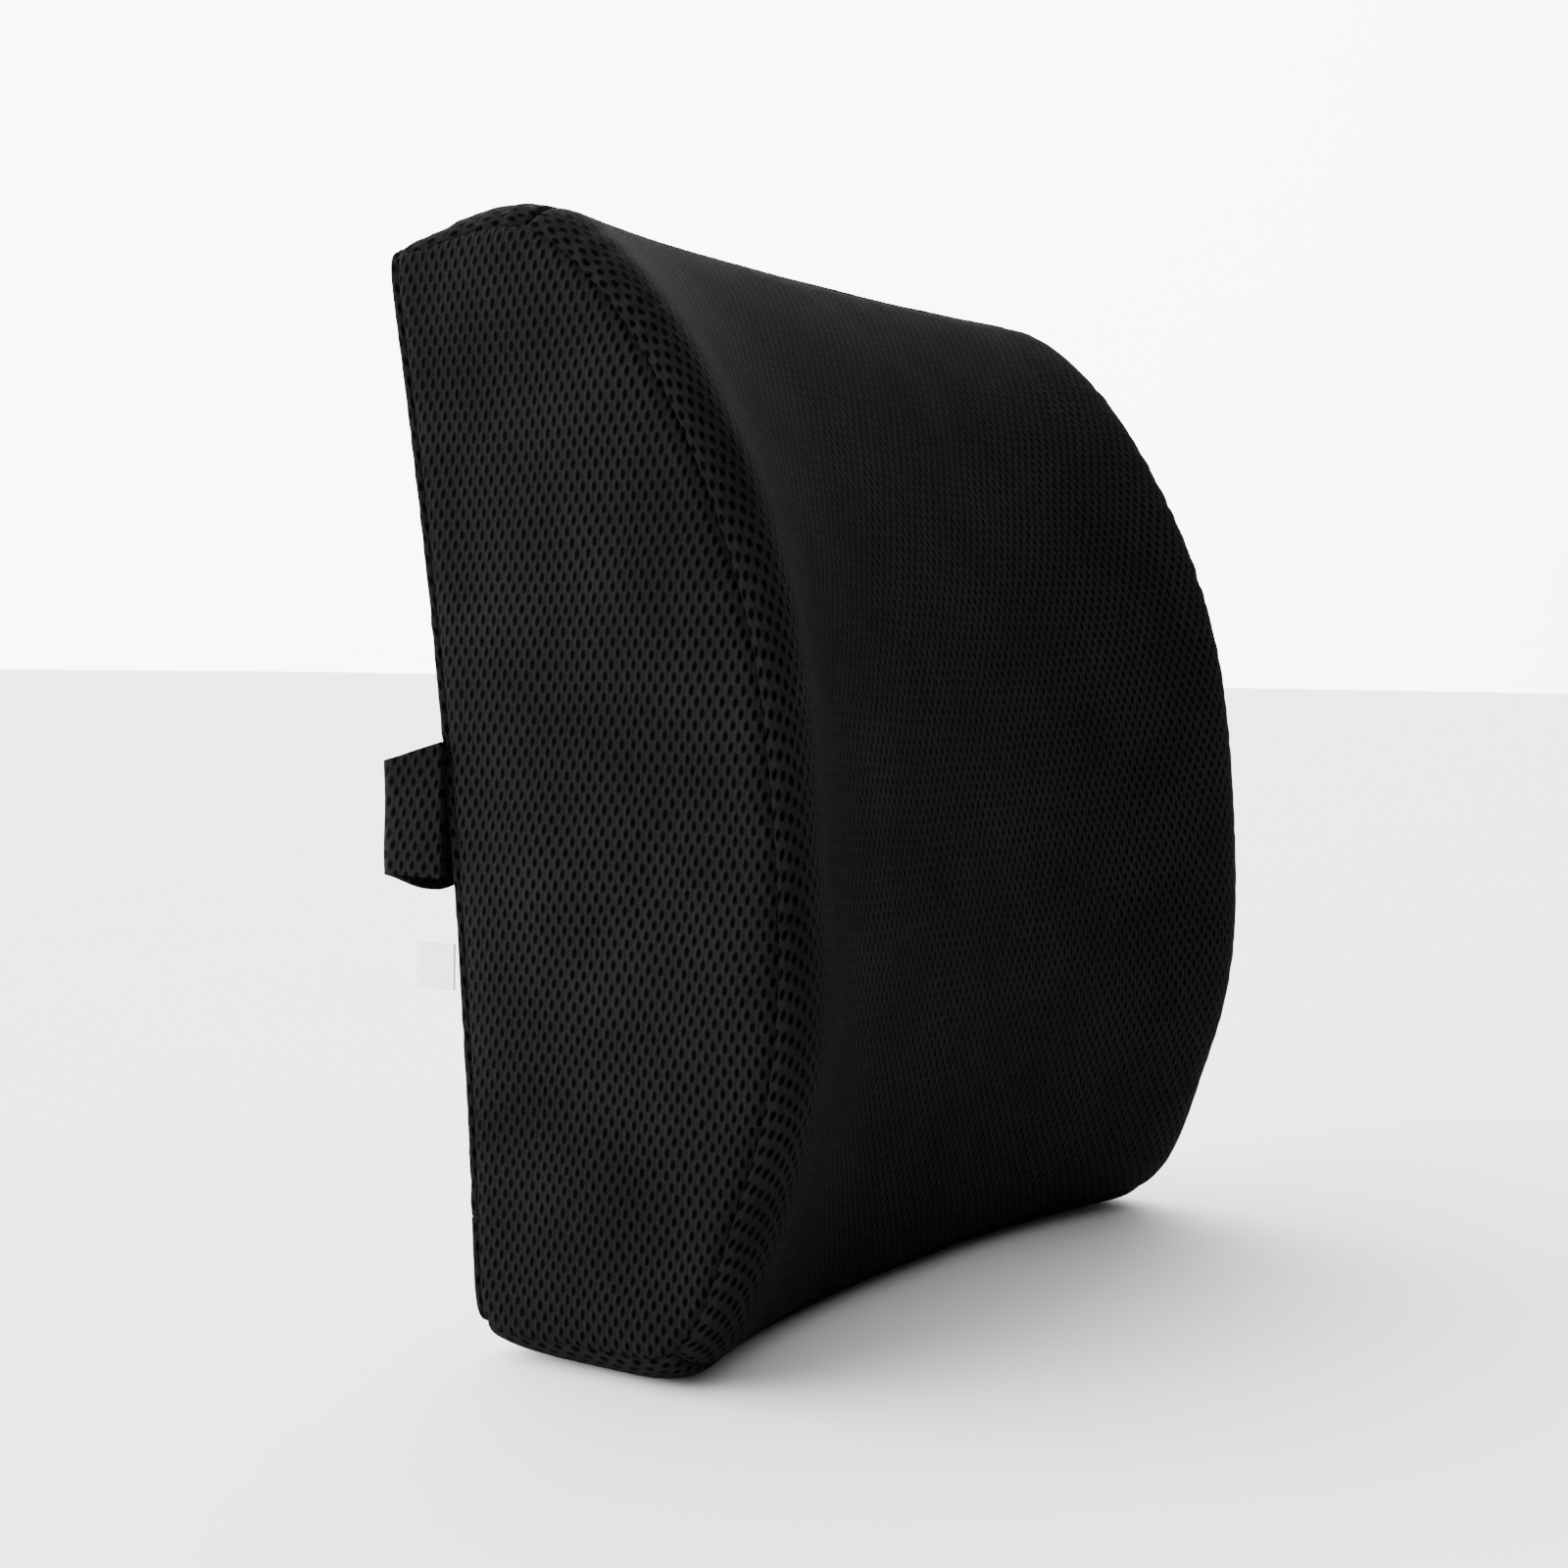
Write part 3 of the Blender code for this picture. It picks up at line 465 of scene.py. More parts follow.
def t_samples(a, b, step):
    """Profile positions from a to b, evenly spaced along the curve."""
    t = np.linspace(a, b, 2000)
    f, z, _, _ = profile(t)
    s = np.concatenate([[0], np.cumsum(np.hypot(np.diff(f), np.diff(z)))])
    n = max(8, int(round(s[-1] / step)))
    return np.interp(np.linspace(0, s[-1], n + 1), s, t)


def base_grid(ts):
    P = surface(ROW_X[:, None], ROW_PHI[:, None], ts[None, :])
    return smooth_rows(P, 3.0)


COVER_T = 0.0022


def seam_drop(dist, depth=0.0015, reach=0.0012):
    return depth * np.exp(-dist / reach) + 0.0004 * np.exp(-dist / 0.004)


def pucker(s, dist, seed, amp, wave=0.0068, reach=0.0075):
    """Small gathers square to a seam, dying away from it. s runs along the seam."""
    rng = np.random.default_rng(seed)
    ph = rng.uniform(0, 2 * np.pi, 5)
    w = sum(a * np.sin(2 * np.pi * s / (wave * k) + p) for a, k, p in zip((1, 0.8, 0.6, 0.45, 0.3), (1, 0.73, 1.37, 0.51, 2.3), ph))
    env = 0.55 + 0.45 * np.sin(2 * np.pi * s / 0.071 + ph[0]) * np.sin(2 * np.pi * s / 0.113 + ph[1])
    return amp * w / 2.2 * env * np.exp(-dist / reach)


def make_panel(name, ts, seed, lo_seam=True, hi_seam=True, keep_flat=False, P=None):
    P = base_grid(ts) if P is None else P
    N = normals(P)
    au, av = arc(P, 0), arc(P, 1)
    row_lo, row_hi = au, au[-1:] - au
    col_lo, col_hi = av, av[:, -1:] - av
    side_dist = np.minimum(row_lo, row_hi)
    d = seam_drop(side_dist) + (seam_drop(col_lo) if lo_seam else 0) + (seam_drop(col_hi) if hi_seam else 0)
    z = P[..., 2]
    # the back's side seams lie flat; only the front and top gather
    up = np.clip((z - 0.05) / 0.25, 0, 1) * (0.0 if name.startswith("cover_back") else 1.0)
    lift = pucker(av, row_lo, seed, 0.00030 + 0.00090 * up, wave=0.0105, reach=0.011) + pucker(av, row_hi, seed + 1, 0.00030 + 0.00090 * up, wave=0.0105, reach=0.011)
    if lo_seam:
        lift += pucker(au, col_lo, seed + 2, 0.00022)
    if hi_seam:
        lift += pucker(au, col_hi, seed + 3, 0.00022)
    soft = pnoise(P[::3, ::3], 26.0, seed) * 0.0007 + pnoise(P[::3, ::3], 70.0, seed + 5) * 0.00025
    ii = np.arange(P.shape[0]) / 3.0
    jj = np.arange(P.shape[1]) / 3.0
    soft = np.array([np.interp(jj, np.arange(soft.shape[1]), r) for r in soft])
    soft = np.array([np.interp(ii, np.arange(soft.shape[0]), c) for c in soft.T]).T
    edge = np.clip(np.minimum(side_dist, np.minimum(col_lo, col_hi)) / 0.012, 0, 1)
    total = -d + lift + soft * edge
    if keep_flat:
        total = np.minimum(total, 0.0)
    Q = P + N * total[..., None]
    uv = np.stack([au - au[len(au) // 2][None, :], av + 0.003 * seed], -1)
    return closed_grid(name, Q, N, COVER_T, uv, MESH)


def put(ob, *nodes, body=ROOT, slot="spacer_mesh", pad=None):
    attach(ob, body)
    if nodes:
        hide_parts(*nodes)
    return ob


front = make_panel("cover_front", t_samples(T_CROSS, T_BASE, STEP), 3)
put(front, "front_panel", pad=0.9)
top = make_panel("cover_top", t_samples(T_TOP, T_CROSS, STEP), 11)
put(top, "top_panel", pad=0.9)
base = make_panel("cover_bottom", t_samples(T_BASE, NC + T_FOOT, STEP), 19, keep_flat=True)
put(base, "bottom_panel", pad=0.9)

# the back is two panels with the zipper between them
ZIP_Z = 0.040
t_grid = np.linspace(0.2, 8.0, 4000)
T_ZIP = float(np.interp(ZIP_Z, profile(t_grid)[1], t_grid))
SLOT_HALF = 0.0052


def speed(t):
    f0, z0, _, _ = profile(np.asarray(t) - 0.01)
    f1, z1, _, _ = profile(np.asarray(t) + 0.01)
    return np.hypot(f1 - f0, z1 - z0) / 0.02


def back_grid(ts, way):
    """The back's grid with its edge columns moved off the zipper; way is the side of the zipper that is kept."""
    wide = np.where(np.abs(ROW_PHI) > 1e-9, 0.0, SLOT_HALF * np.clip((0.1345 - np.abs(ROW_X)) / 0.0025, 0, 1))
    near = np.clip(1 - np.abs(profile(ts)[1] - ZIP_Z) / 0.030, 0, 1)
    k = wide[:, None] * near[None, :] * way
    return smooth_rows(surface(ROW_X[:, None], ROW_PHI[:, None], ts[None, :] + k / speed(ts)[None, :]), 1.0)


for name, cad, a, b, seed, way in (("cover_back_lower", "back_panel_lower", T_FOOT, T_ZIP, 29, -1),
                                   ("cover_back_upper", "back_panel_upper", T_ZIP, T_TOP, 37, 1)):
    ts = t_samples(a, b, STEP)
    put(make_panel(name, ts, seed, lo_seam=way < 0, hi_seam=way > 0, P=back_grid(ts, way)), cad, pad=0.9)


# side panels: a fine patch inside the side seam
def side_panel(side, name, cad, seed):
    phi = LAST_PHI * side
    back_t = t_samples(T_FOOT, T_TOP, 0.0021)
    nb = len(back_t)
    tp = np.linspace(T_CROSS, T_BASE, 2000)
    f, z, _, _ = profile(tp)
    s = np.concatenate([[0], np.cumsum(np.hypot(np.diff(f), np.diff(z)))])
    front_t = np.interp(np.linspace(0, s[-1], nb), s, tp)
    top_t = t_samples(T_TOP, T_CROSS, 0.0021)
    m = len(top_t)
    bt = np.linspace(T_BASE, NC + T_FOOT, 1500)
    f, z, _, _ = profile(bt)
    s = np.concatenate([[0], np.cumsum(np.hypot(np.diff(f), np.diff(z)))])
    base_t = np.interp(np.linspace(0, s[-1], m), s, bt)
    left, right = surface(0, phi, back_t), surface(0, phi, front_t[::-1])
    bottom, top_ = surface(0, phi, base_t[::-1]), surface(0, phi, top_t)
    v = np.linspace(0, 1, nb)[:, None, None]
    u = np.linspace(0, 1, m)[None, :, None]
    P = (1 - u) * left[:, None] + u * right[:, None] + (1 - v) * bottom[None] + v * top_[None]
    P = P - ((1 - u) * (1 - v) * left[0] + u * (1 - v) * right[0] + (1 - u) * v * left[-1] + u * v * right[-1])
    uu, vv = u[..., 0], v[..., 0]
    P[..., 0] += side * SIDE_BULGE * 14.4 * uu * (1 - uu) * vv * (1 - vv)
    N = np.zeros_like(P)
    N[..., 0] = side
    au, av = arc(P, 1), arc(P, 0)
    dist_u = np.minimum(au, au[:, -1:] - au)
    dist_v = np.minimum(av, av[-1:] - av)
    d = seam_drop(dist_u, 0.0017) + seam_drop(dist_v, 0.0017)
    lift = pucker(av, au[:, -1:] - au, seed, 0.00026, 0.0075, 0.006) + pucker(av, au, seed + 1, 0.00018)
    lift += pucker(au, av[-1:] - av, seed + 2, 0.00026, 0.0070, 0.006) + pucker(au, av, seed + 3, 0.00018)
    soft = pnoise(P, 24.0, seed) * 0.0017 + pnoise(P, 60.0, seed + 5) * 0.00035
    edge = np.clip(np.minimum(dist_u, dist_v) / 0.012, 0, 1)
    Q = P + N * (-d + lift + soft * edge)[..., None]
    uv = np.stack([Q[..., 1] * side, Q[..., 2]], -1)
    ob = closed_grid(name, Q, N, COVER_T, uv, MESH, inset=0.0008)
    return put(ob, cad, pad=0.9)


side_panel(-1, "cover_side_left", "left_side_panel", 43)
side_panel(1, "cover_side_right", "right_side_panel", 53)

# ------------------------------------------------------------------ foam block and its liner, inside the cover
def inner_body(name, depth, mat, cad, slot, skin=None):
    ts = t_samples(T_FOOT, NC + T_FOOT, 0.006)[:-1]
    rx = np.concatenate([np.full(5, -XC), np.linspace(-XC, XC, 41), np.full(5, XC)])
    ph = np.linspace(LAST_PHI, 0, 6)[:-1]
    rp = np.concatenate([-ph, np.zeros(41), ph[::-1]])
    P = smooth_rows(surface(rx[:, None], rp[:, None], ts[None, :], depth), 1.2)
    R, C = P.shape[:2]
    ids = np.arange(R * C).reshape(R, C)
    nxt = np.roll(ids, -1, 1)
    faces = np.stack([ids[:-1], ids[1:], nxt[1:], nxt[:-1]], -1)
    verts = P.reshape(-1, 3)
    au, av = arc(P, 0), arc(P, 1)
    uv = np.stack([au, av], -1).reshape(-1, 2)
    caps = []
    extra, extra_uv = [], []
    for row in (0, R - 1):
        ring = P[row]
        centre = ring.mean(0)
        last = ids[row]
        for k in (0.72, 0.44, 0.18):
            cur = np.arange(C) + R * C + len(extra)
            extra += list(centre + (ring - centre) * k)
            extra_uv += [(q[1], q[2]) for q in centre + (ring - centre) * k]
            caps.append(np.stack([last, np.roll(last, -1), np.roll(cur, -1), cur], -1))
            last = cur
        c = R * C + len(extra)
        extra.append(centre)
        extra_uv.append((centre[1], centre[2]))
        caps.append(np.stack([last, np.roll(last, -1), np.full(C, c)], -1))
    verts = np.concatenate([verts, np.array(extra)])
    uv = np.concatenate([uv, np.array(extra_uv)])
    flist = [list(f) for f in faces.reshape(-1, 4)]
    if skin:
        lo, hi = skin
        keep = []
        for f in flist:
            mid_ = verts[f].mean(0)
            if abs(mid_[0]) < 0.118 and lo < mid_[2] < hi and mid_[1] > 0.02:
                continue
            keep.append(f)
        flist = keep
    for cset in caps:
        flist += [list(f) for f in cset]
    ob = collect(name, verts, [[int(i) for i in f] for f in flist], uv, True, mat)
    bm = bmesh.new()
    bm.from_mesh(ob.data)
    bmesh.ops.recalc_face_normals(bm, faces=bm.faces)
    bm.to_mesh(ob.data)
    bm.free()
    if skin:
        so = ob.modifiers.new("cloth", "SOLIDIFY")
        so.thickness, so.offset = 0.0006, -1.0
    put(ob, cad, slot=slot, pad=0.95)
    return ob


inner_body("foam_block", 0.0046, FOAM, "foam_core", "memory_foam")
inner_body("liner", 0.0030, LINER, "inner_liner", "liner_cloth", skin=(0.030, 0.052))


# ------------------------------------------------------------------ bands, threads and copies of the hard parts
def strip(name, path, z_lo, z_hi, thick, mat, cols=24, wave=0.0, seed=1, uv_turn=False):
    """A cloth band: path is its middle in X and Y, z_lo and z_hi its edges at each point."""
    path = np.asarray(path, float)
    n = len(path)
    tan = np.gradient(path, axis=0)
    tan /= np.maximum(np.linalg.norm(tan, axis=1, keepdims=True), 1e-9)
    nor = np.stack([tan[:, 1], -tan[:, 0], np.zeros(n)], -1)
    w = np.linspace(0, 1, cols + 1)
    z = z_lo[:, None] * (1 - w) + z_hi[:, None] * w
    P = np.stack([np.repeat(path[:, :1], cols + 1, 1), np.repeat(path[:, 1:], cols + 1, 1), z], -1)
    N = np.repeat(nor[:, None, :], cols + 1, 1)
    shift = pnoise(P, 55.0, seed) * wave
    P = P + N * (thick / 2 + shift)[..., None]
    au, av = arc(P, 0), arc(P, 1)
    uv = np.stack([av, au], -1) if uv_turn else np.stack([au, av], -1)
    return closed_grid(name, P, N, thick, uv, mat, depths=(thick * 0.35, thick * 0.7), inset=min(0.0002, thick * 0.15))


def refine(points, step):
    pts = np.asarray(points, float)
    s = np.concatenate([[0], np.cumsum(np.linalg.norm(np.diff(pts, axis=0), axis=1))])
    q = np.linspace(0, s[-1], max(3, int(s[-1] / step) + 1))
    return np.stack([np.interp(q, s, pts[:, k]) for k in range(pts.shape[1])], -1)


def stitches(name, path, out, body=ROOT, length=0.0026, gap=0.0009, r=0.00028, mat=None, slot="spacer_mesh"):
    """Separate thread stitches along a path in 3-D; out is the way the thread stands off the cloth."""
    pts = np.asarray(path, float)
    s = np.concatenate([[0], np.cumsum(np.linalg.norm(np.diff(pts, axis=0), axis=1))])
    out = np.asarray(out, float)
    verts, faces, uvs = [], [], []
    for k in range(int(s[-1] / (length + gap))):
        a0 = k * (length + gap) + gap / 2
        rings = 7
        start = len(verts)
        for j in range(rings):
            q = a0 + length * j / (rings - 1)
            c = np.array([np.interp(q, s, pts[:, m]) for m in range(3)])
            d = np.array([np.interp(q + 1e-4, s, pts[:, m]) for m in range(3)]) - c
            d /= max(np.linalg.norm(d), 1e-9)
            side = np.cross(d, out)
            side /= max(np.linalg.norm(side), 1e-9)
            up = np.cross(side, d)
            e = math.sin(math.pi * (j + 0.35) / (rings - 0.3))
            rr = r * (0.45 + 0.55 * e)
            for i in range(6):
                ang = math.pi * i / 3
                verts.append(c + up * (r * 0.9 * e - r * 0.3 + rr * math.sin(ang)) + side * rr * math.cos(ang))
                uvs.append((q, r * ang))
        for j in range(rings - 1):
            for i in range(6):
                p0 = start + j * 6 + i
                p1 = start + j * 6 + (i + 1) % 6
                faces.append([p0, p1, p1 + 6, p0 + 6])
        faces.append([start + i for i in range(6)][::-1])
        faces.append([start + (rings - 1) * 6 + i for i in range(6)])
    ob = collect(name, verts, faces, uvs, True, mat or THREAD)
    return put(ob, body=body, slot=slot)


def cad_copy(node_name, name, mat, body, slot, bevel=0.0004):
    """The design's own mesh with its edges eased."""
    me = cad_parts[node_name].data.copy()
    me.name = name
    me.materials.clear()
    me.materials.append(mat)
    bm = bmesh.new()
    bm.from_mesh(me)
    bmesh.ops.remove_doubles(bm, verts=bm.verts, dist=1e-6)
    bmesh.ops.dissolve_limit(bm, angle_limit=math.radians(1.0), verts=bm.verts, edges=bm.edges)
    bmesh.ops.recalc_face_normals(bm, faces=bm.faces)
    bm.to_mesh(me)
    bm.free()
    me.shade_smooth()
    me.set_sharp_from_angle(angle=math.radians(40))
    ob = bpy.data.objects.new(name, me)
    bpy.context.scene.collection.objects.link(ob)
    if bevel:
        bv = ob.modifiers.new("eased edges", "BEVEL")
        bv.width, bv.segments, bv.limit_method, bv.angle_limit = bevel, 3, "ANGLE", math.radians(35)
        bv.harden_normals = True
    return put(ob, node_name, body=body, slot=slot)


# ------------------------------------------------------------------ seam allowances, dark at the bottom of each groove
def tube(name, path, r, closed=False):
    pts = np.asarray(path, float)
    n = len(pts)
    tan = (np.roll(pts, -1, 0) - np.roll(pts, 1, 0)) if closed else np.gradient(pts, axis=0)
    tan /= np.maximum(np.linalg.norm(tan, axis=1, keepdims=True), 1e-9)
    ref = np.array([1.0, 0.0, 0.0]) if closed else np.array([0.0, 0.3, 1.0])
    a_ = np.cross(tan, ref)
    a_ /= np.maximum(np.linalg.norm(a_, axis=1, keepdims=True), 1e-9)
    b_ = np.cross(tan, a_)
    verts = np.stack([pts + r * (a_ * math.cos(w) + b_ * math.sin(w)) for w in np.linspace(0, 2 * np.pi, 9)[:-1]], 1).reshape(-1, 3)
    uvs = [(k * 0.002, 0.0008 * i) for k in range(n) for i in range(8)]
    faces = []
    for k in range(n if closed else n - 1):
        q = (k + 1) % n
        faces += [[k * 8 + i, k * 8 + (i + 1) % 8, q * 8 + (i + 1) % 8, q * 8 + i] for i in range(8)]
    if not closed:
        faces += [list(range(8))[::-1], [(n - 1) * 8 + i for i in range(8)]]
    ob = collect(name, verts, faces, uvs, True, THREAD)
    bm = bmesh.new()
    bm.from_mesh(ob.data)
    bmesh.ops.recalc_face_normals(bm, faces=bm.faces)
    bm.to_mesh(ob.data)
    bm.free()
    return put(ob)


ring_t = t_samples(T_FOOT, NC + T_FOOT, 0.003)[:-1]
for side, word in ((-1, "left"), (1, "right")):
    tube("seam_allowance_" + word, surface(0.0, side * LAST_PHI, ring_t, 0.0030), 0.0010, closed=True)
for t, word in ((T_TOP, "back_top"), (T_CROSS, "top_front"), (T_BASE, "front_foot"), (T_FOOT, "back_foot")):
    tube("seam_allowance_" + word, smooth_rows(surface(ROW_X[:, None], ROW_PHI[:, None], np.array([[t]]), 0.0030), 3.0)[:, 0], 0.0010)

for side, word in ((-1, "left"), (1, "right")):
    sel = side * ROW_X > 0.1335
    tube("zipper_seam_end_" + word, surface(ROW_X[sel], ROW_PHI[sel], T_ZIP, 0.0034), 0.0016)

# ------------------------------------------------------------------ strap
STRAP_Z, WEB_Y0 = 0.157, 0.0095
strap_base = -float(back_offset(STRAP_Z)) + MID_Y
web_y = MID_Y + WEB_Y0
tab_mid = web_y + 0.0007 + 0.0003 + 0.0015
for side, word in ((-1, "left"), (1, "right")):
    pts = [(side * 0.1532, strap_base - 0.0040), (side * 0.1543, strap_base + 0.0030)]
    r, top_x = 0.0060, 0.1547
    for k in range(9):
        ang = math.radians(90 * k / 8)
        pts.append((side * (top_x - r + r * math.cos(ang)), tab_mid - r + r * math.sin(ang)))
    pts.append((side * 0.0955, tab_mid))
    path = refine(pts, 0.0012)
    s = np.concatenate([[0], np.cumsum(np.linalg.norm(np.diff(path, axis=0), axis=1))])
    turn = 0.024
    hi = np.interp(s, [0, turn, turn + 0.014, turn + 0.030, s[-1]], [0.1790, 0.1718, 0.1712, 0.1768, 0.1768])
    lo = np.interp(s, [0, turn, turn + 0.010, turn + 0.022, turn + 0.036, s[-1]], [0.1385, 0.1392, 0.1345, 0.1312, 0.1358, 0.1372])
    lo = smooth_rows(lo[:, None], 4.0)[:, 0]
    hi = smooth_rows(hi[:, None], 4.0)[:, 0]
    ob = strip("strap_mesh_" + word, path, lo, hi, 0.0028, MESH_STRAP, cols=30, wave=0.0005, seed=61 + side, uv_turn=False)
    put(ob, "strap_tab_" + word)
    y_out = tab_mid + 0.0014
    x0, x1 = side * 0.0975, side * 0.1115
    box = [(x0, y_out, 0.1395), (x1, y_out, 0.1395), (x1, y_out, 0.1745), (x0, y_out, 0.1745), (x0, y_out, 0.1395)]
    stitches("strap_box_" + word, box, (0, 1, 0), mat=THREAD, slot="webbing_cloth")
    stitches("strap_cross_" + word, [(x0, y_out, 0.1395), (x1, y_out, 0.1745)], (0, 1, 0), mat=THREAD, slot="webbing_cloth")


def webbing(side, bar):
    loop_r = 0.0012 + 0.0004 + 0.0007
    pts = [(side * 0.1130, web_y), (side * (bar + 0.0090), web_y), (side * (bar + 0.0040), web_y - 0.0012)]
    for k in range(13):
        ang = math.radians(-90 + 180 * k / 12)
        pts.append((side * (bar - loop_r * math.cos(ang)), web_y + loop_r * math.sin(ang)))
    pts += [(side * (bar + 0.0045), web_y + 0.0023), (side * (bar + 0.0100), web_y + 0.0018), (side * (bar + 0.0180), web_y + 0.0018)]
    path = refine(pts, 0.0007)
    n = len(path)
    return strip("webbing_run_" + ("left" if side < 0 else "right"), path, np.full(n, 0.1382), np.full(n, 0.1758), 0.0013,
                 WEBBING, cols=18, seed=71)


put(webbing(-1, 0.0340), "webbing_left", slot="webbing_cloth")
ob = webbing(1, 0.0380)
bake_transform(ob)
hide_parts("webbing_right")

cad_copy("buckle_female", "buckle_socket", BUCKLE, ROOT, "buckle_plastic", 0.0006)
cad_copy("buckle_male", "buckle_tongue", BUCKLE, "buckle_plug", "buckle_plastic", 0.0005)
cad_copy("latch_arm_upper", "latch_upper_arm", BUCKLE, "latch_upper", "buckle_plastic", 0.0004)
cad_copy("latch_arm_lower", "latch_lower_arm", BUCKLE, "latch_lower", "buckle_plastic", 0.0004)
cad_copy("tri_glide", "adjuster_plate", BUCKLE, "strap_adjuster", "buckle_plastic", 0.0004)

# ------------------------------------------------------------------ zipper
tilt = math.atan(float(back_offset(ZIP_Z - 0.005) - back_offset(ZIP_Z + 0.005)) / 0.010)
ZIP = Matrix.Translation((0, -float(back_offset(ZIP_Z)) + MID_Y, ZIP_Z)) @ Matrix.Rotation(-tilt, 4, "X")


def zip_place(ob):
    ob.data.transform(ZIP)
    return ob


for sign, word in ((1, "upper"), (-1, "lower")):
    verts, faces, uvs = [], [], []
    xs = np.linspace(-0.1330, 0.1330, 267)
    for x in xs:
        slot_ = SLOT_HALF * min(max((0.1345 - abs(x)) / 0.0025, 0), 1)
        near_ = 0.0021 if abs(x) < 0.1269 else (0.0028 if abs(x) < 0.1303 else 0.0004)
        lo, hi = sorted((sign * near_, sign * max(near_ + 0.0002, min(0.0049, slot_ - 0.0003))))
        for y, z in ((-0.0004, lo), (-0.0004, (lo + hi) / 2), (-0.0004, hi), (-0.0010, hi), (-0.0010, (lo + hi) / 2), (-0.0010, lo)):
            verts.append((x, y, z))
            uvs.append((x, z))
    for k in range(len(xs) - 1):
        for i in range(6):
            j = (i + 1) % 6
            faces.append([k * 6 + i, k * 6 + j, k * 6 + 6 + j, k * 6 + 6 + i])
    faces.append(list(range(6))[::-1])
    faces.append([(len(xs) - 1) * 6 + i for i in range(6)])
    ob = collect("zipper_band_" + word, verts, faces, uvs, False, TAPE)
    bm = bmesh.new()
    bm.from_mesh(ob.data)
    bmesh.ops.recalc_face_normals(bm, faces=bm.faces)
    bm.to_mesh(ob.data)
    bm.free()
    put(zip_place(ob), "zipper_tape_" + word, slot="zipper_plastic")

    # nylon coil: a flattened helix whose inner side stops at the middle of the closure
    turns, per = 180, 10
    verts, faces = [], []
    n = turns * per + 1
    ang = np.arange(n) * 2 * np.pi / per
    cx = np.linspace(-0.1262, 0.1262, n)
    cy = -0.0007 + 0.00042 * np.sin(ang)
    cz = sign * (0.0011 + 0.0008 * np.cos(ang))
    C3 = np.stack([cx, cy, cz], -1)
    T3 = np.gradient(C3, axis=0)
    T3 /= np.linalg.norm(T3, axis=1, keepdims=True)
    A3 = np.cross(T3, np.array([1.0, 0, 0]))
    A3 /= np.maximum(np.linalg.norm(A3, axis=1, keepdims=True), 1e-9)
    B3 = np.cross(T3, A3)
    for i in range(5):
        w = 2 * np.pi * i / 5
        verts.append(C3 + 0.00026 * (A3 * math.cos(w) + B3 * math.sin(w)))
    verts = np.stack(verts, 1).reshape(-1, 3)
    for k in range(n - 1):
        for i in range(5):
            j = (i + 1) % 5
            faces.append([k * 5 + i, k * 5 + j, k * 5 + 5 + j, k * 5 + 5 + i])
    faces.append(list(range(5))[::-1])
    faces.append([(n - 1) * 5 + i for i in range(5)])
    ob = collect("zipper_teeth_" + word, verts, faces, None, True, COIL)
    put(zip_place(ob), "zipper_coil_" + word, slot="zipper_plastic")
    # a row of stitches holding the tape to the panel beside it
    z = sign * 0.0074
    path = [ZIP @ Vector((x, 0.0, z)) for x in np.linspace(-0.131, 0.131, 60)]
    stitches("zipper_seam_" + word, [tuple(v) for v in path], (0, 1, 0), mat=THREAD)

# the underlap behind the coils keeps the liner out of the slider
verts, faces, uvs = [], [], []
xs = np.linspace(-0.136, 0.136, 137)
for x in xs:
    for y, z in ((-0.00245, -0.0075), (-0.00245, 0.0075), (-0.0028, 0.0075), (-0.0028, -0.0075)):
        verts.append((x, y, z))
        uvs.append((x, z))
for k in range(len(xs) - 1):
    faces += [[k * 4 + i, k * 4 + (i + 1) % 4, k * 4 + 4 + (i + 1) % 4, k * 4 + 4 + i] for i in range(4)]
faces += [[0, 1, 2, 3][::-1], [(len(xs) - 1) * 4 + i for i in range(4)]]
ob = collect("zipper_underlap", verts, faces, uvs, False, TAPE)
bm = bmesh.new()
bm.from_mesh(ob.data)
bmesh.ops.recalc_face_normals(bm, faces=bm.faces)
bm.to_mesh(ob.data)
bm.free()
put(zip_place(ob), slot="zipper_plastic")

for word in ("top", "bottom"):
    cad_copy("zipper_%s_stop" % word, "zip_%s_clamp" % word, STOP, ROOT, "zipper_metal", 0.0003)
cad_copy("zipper_slider", "slider_body", ZINC, "zip_slider", "zipper_metal", 0.0002)
cad_copy("zipper_pull_tab", "puller", ZINC, "zip_pull", "zipper_metal", 0.00018)

# ------------------------------------------------------------------ blank folded label in the rear seam of the left side
seam_y = -float(back_offset(0.113)) + MID_Y
pts = [(-0.1527, seam_y - 0.0035), (-0.1537, seam_y + 0.003), (-0.1541, seam_y + 0.0085), (-0.1539, seam_y + 0.0105),
       (-0.1535, seam_y + 0.0110), (-0.1532, seam_y + 0.0104), (-0.1533, seam_y + 0.0085), (-0.1529, seam_y + 0.003), (-0.1523, seam_y - 0.0035)]
path = refine(pts, 0.0004)
n = len(path)
ob = strip("blank_label", path, np.full(n, 0.1062), np.full(n, 0.1198), 0.00028, SATIN, cols=24, seed=83)
put(ob, "side_label", slot="label_cloth")

# ------------------------------------------------------------------ stage, light and camera
def mat_floor():
    m, nt, p = new_mat("studio_floor")
    fac = tex_noise(nt, obj_vec(nt), 6.0, 2.0, 0.5)
    nt.links.new(mix(nt, fac, (0.90, 0.90, 0.90), (0.92, 0.92, 0.92)), p.inputs["Base Color"])
    p.inputs["Roughness"].default_value = 0.95
    p.inputs["Specular IOR Level"].default_value = 0.1
    return m


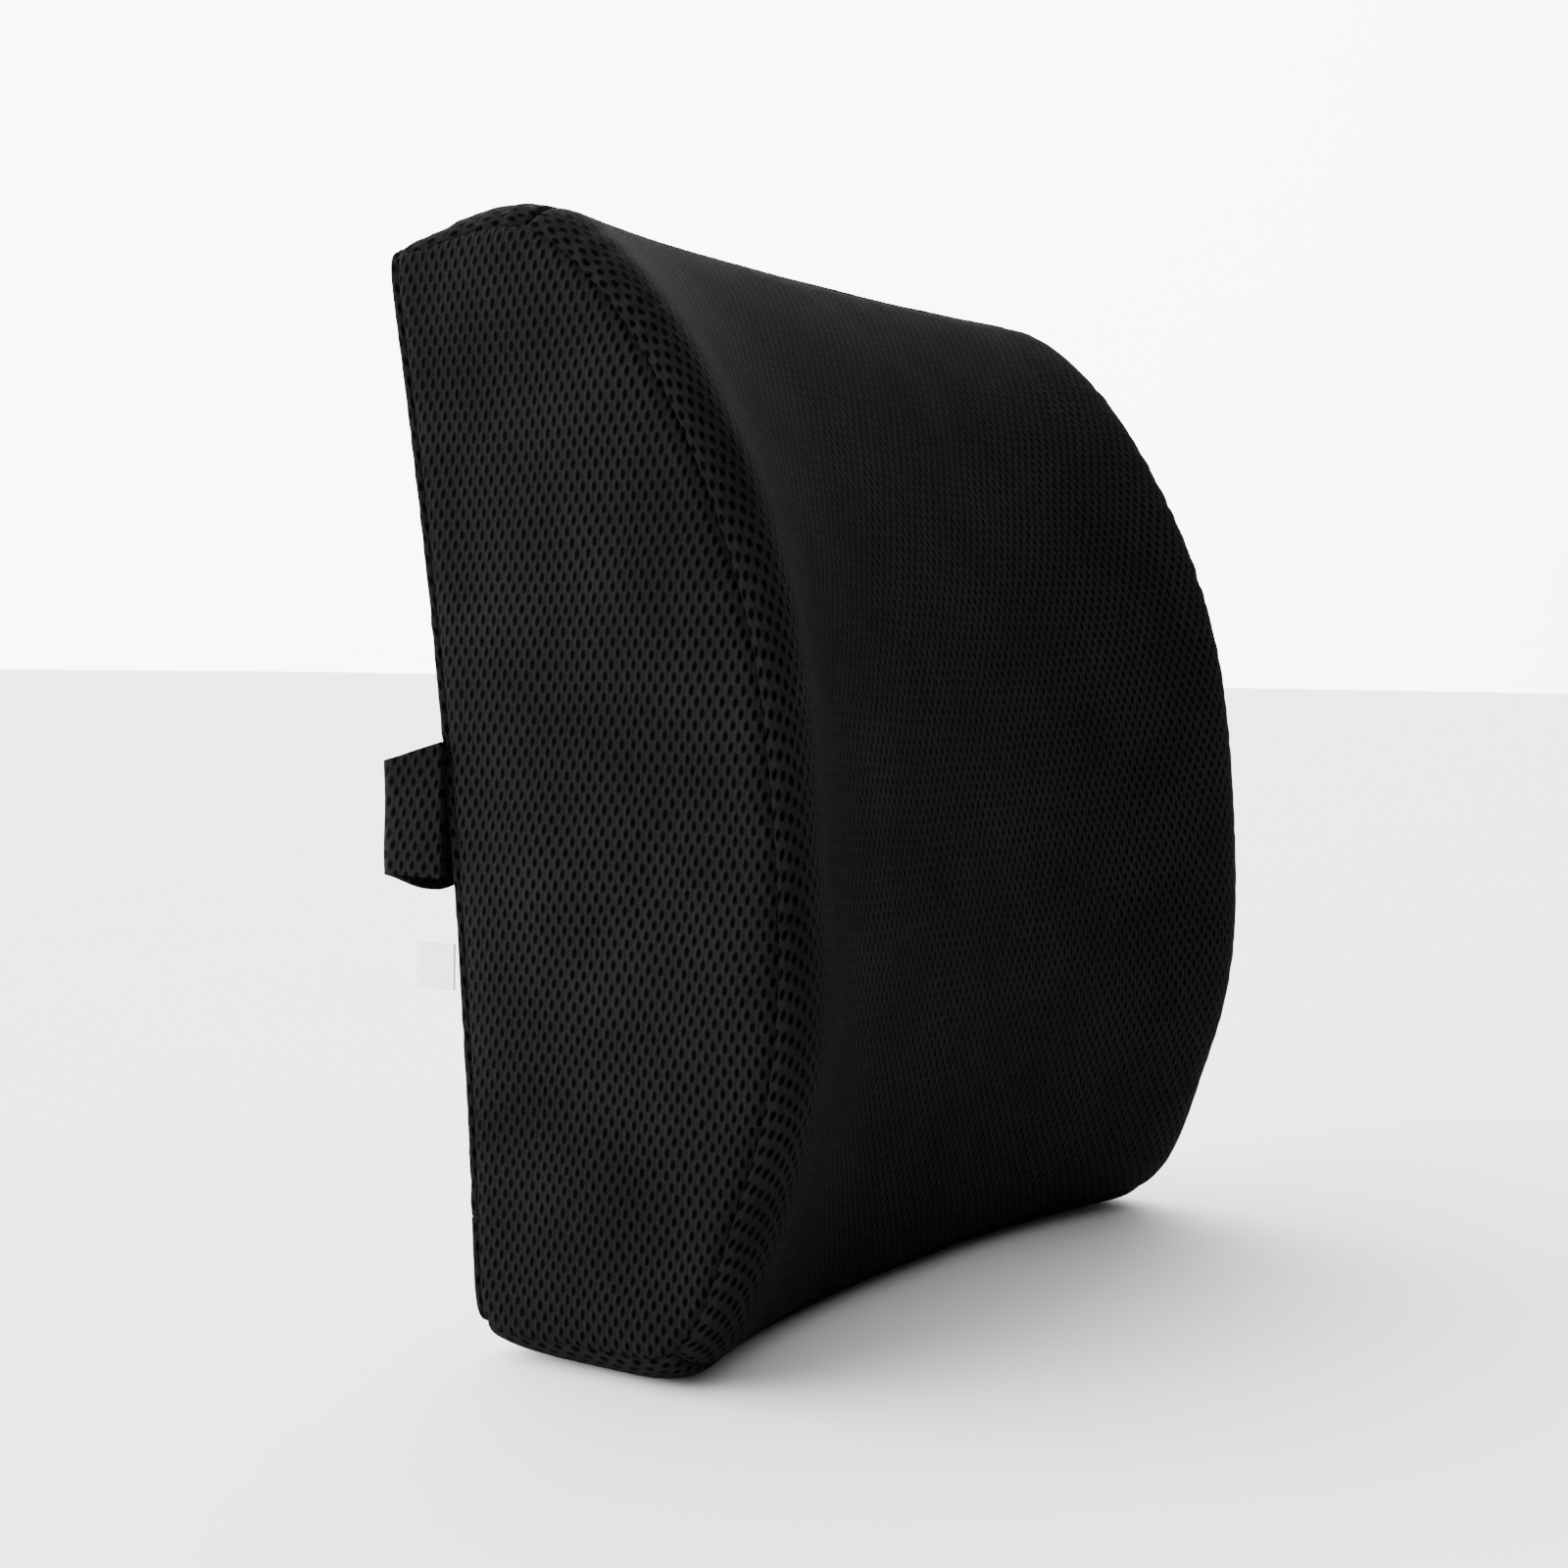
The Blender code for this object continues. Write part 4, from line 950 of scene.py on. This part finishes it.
bpy.ops.mesh.primitive_plane_add(size=60.0, location=(0, 0, -0.0002))
floor = bpy.context.object
floor.name = "studio_floor"
floor.data.materials.append(mat_floor())
floor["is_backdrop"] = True

world = bpy.data.worlds.new("studio")
bpy.context.scene.world = world
world.use_nodes = True
wt = world.node_tree
bg = wt.nodes["Background"]
# a white cove behind and above, open dark room in front
ray = wt.nodes.new("ShaderNodeTexCoord").outputs["Generated"]
side_ = ramp(wt, vmath(wt, "DOT_PRODUCT", ray, (0.20, 0.98, 0.0)), 0.0, 0.55, 0.02, 1.0)
above = ramp(wt, vmath(wt, "DOT_PRODUCT", ray, (0.45, 0.65, 0.61)), 0.35, 0.95, 0.0, 1.0)
level = math_(wt, "MULTIPLY_ADD", side_, 7.5, math_(wt, "MULTIPLY", above, 2.5))
wt.links.new(level, bg.inputs[1])
bg.inputs[0].default_value = (1.0, 1.0, 1.0, 1.0)


def sun(name, az, el, strength, angle, colour=(1, 1, 1)):
    l = bpy.data.lights.new(name, "SUN")
    l.energy, l.angle, l.color = strength, math.radians(angle), colour
    o = bpy.data.objects.new(name, l)
    a, e = math.radians(az), math.radians(el)
    d = Vector((math.sin(a) * math.cos(e), -math.cos(a) * math.cos(e), math.sin(e)))
    o.rotation_euler = d.to_track_quat("Z", "Y").to_euler()
    bpy.context.scene.collection.objects.link(o)
    return o


sun("key", -115.0, 24.0, 5.0, 45.0)
sun("fill", 45.0, 60.0, 1.2, 60.0)

az, el, roll, dist = math.radians(-57.644), math.radians(2.642), math.radians(-0.799), 0.798
bk = Vector((math.sin(az) * math.cos(el), -math.cos(az) * math.cos(el), math.sin(el)))
right = Vector((math.cos(az), math.sin(az), 0.0))
up = right.cross(-bk)
r2 = right * math.cos(roll) - up * math.sin(roll)
u2 = right * math.sin(roll) + up * math.cos(roll)
cam_data = bpy.data.cameras.new("view")
cam_data.lens, cam_data.sensor_width = 54.37, 36.0
cam_data.shift_x, cam_data.shift_y = -0.0341, -0.0044
cam_data.clip_start, cam_data.clip_end = 0.01, 200.0
cam = bpy.data.objects.new("view", cam_data)
C = Vector((0.0, 0.00906, 0.165)) + bk * dist
cam.matrix_world = Matrix(((r2.x, u2.x, bk.x, C.x), (r2.y, u2.y, bk.y, C.y), (r2.z, u2.z, bk.z, C.z), (0, 0, 0, 1)))
bpy.context.scene.collection.objects.link(cam)
bpy.context.scene.camera = cam

bpy.context.view_layer.update()
lo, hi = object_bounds()
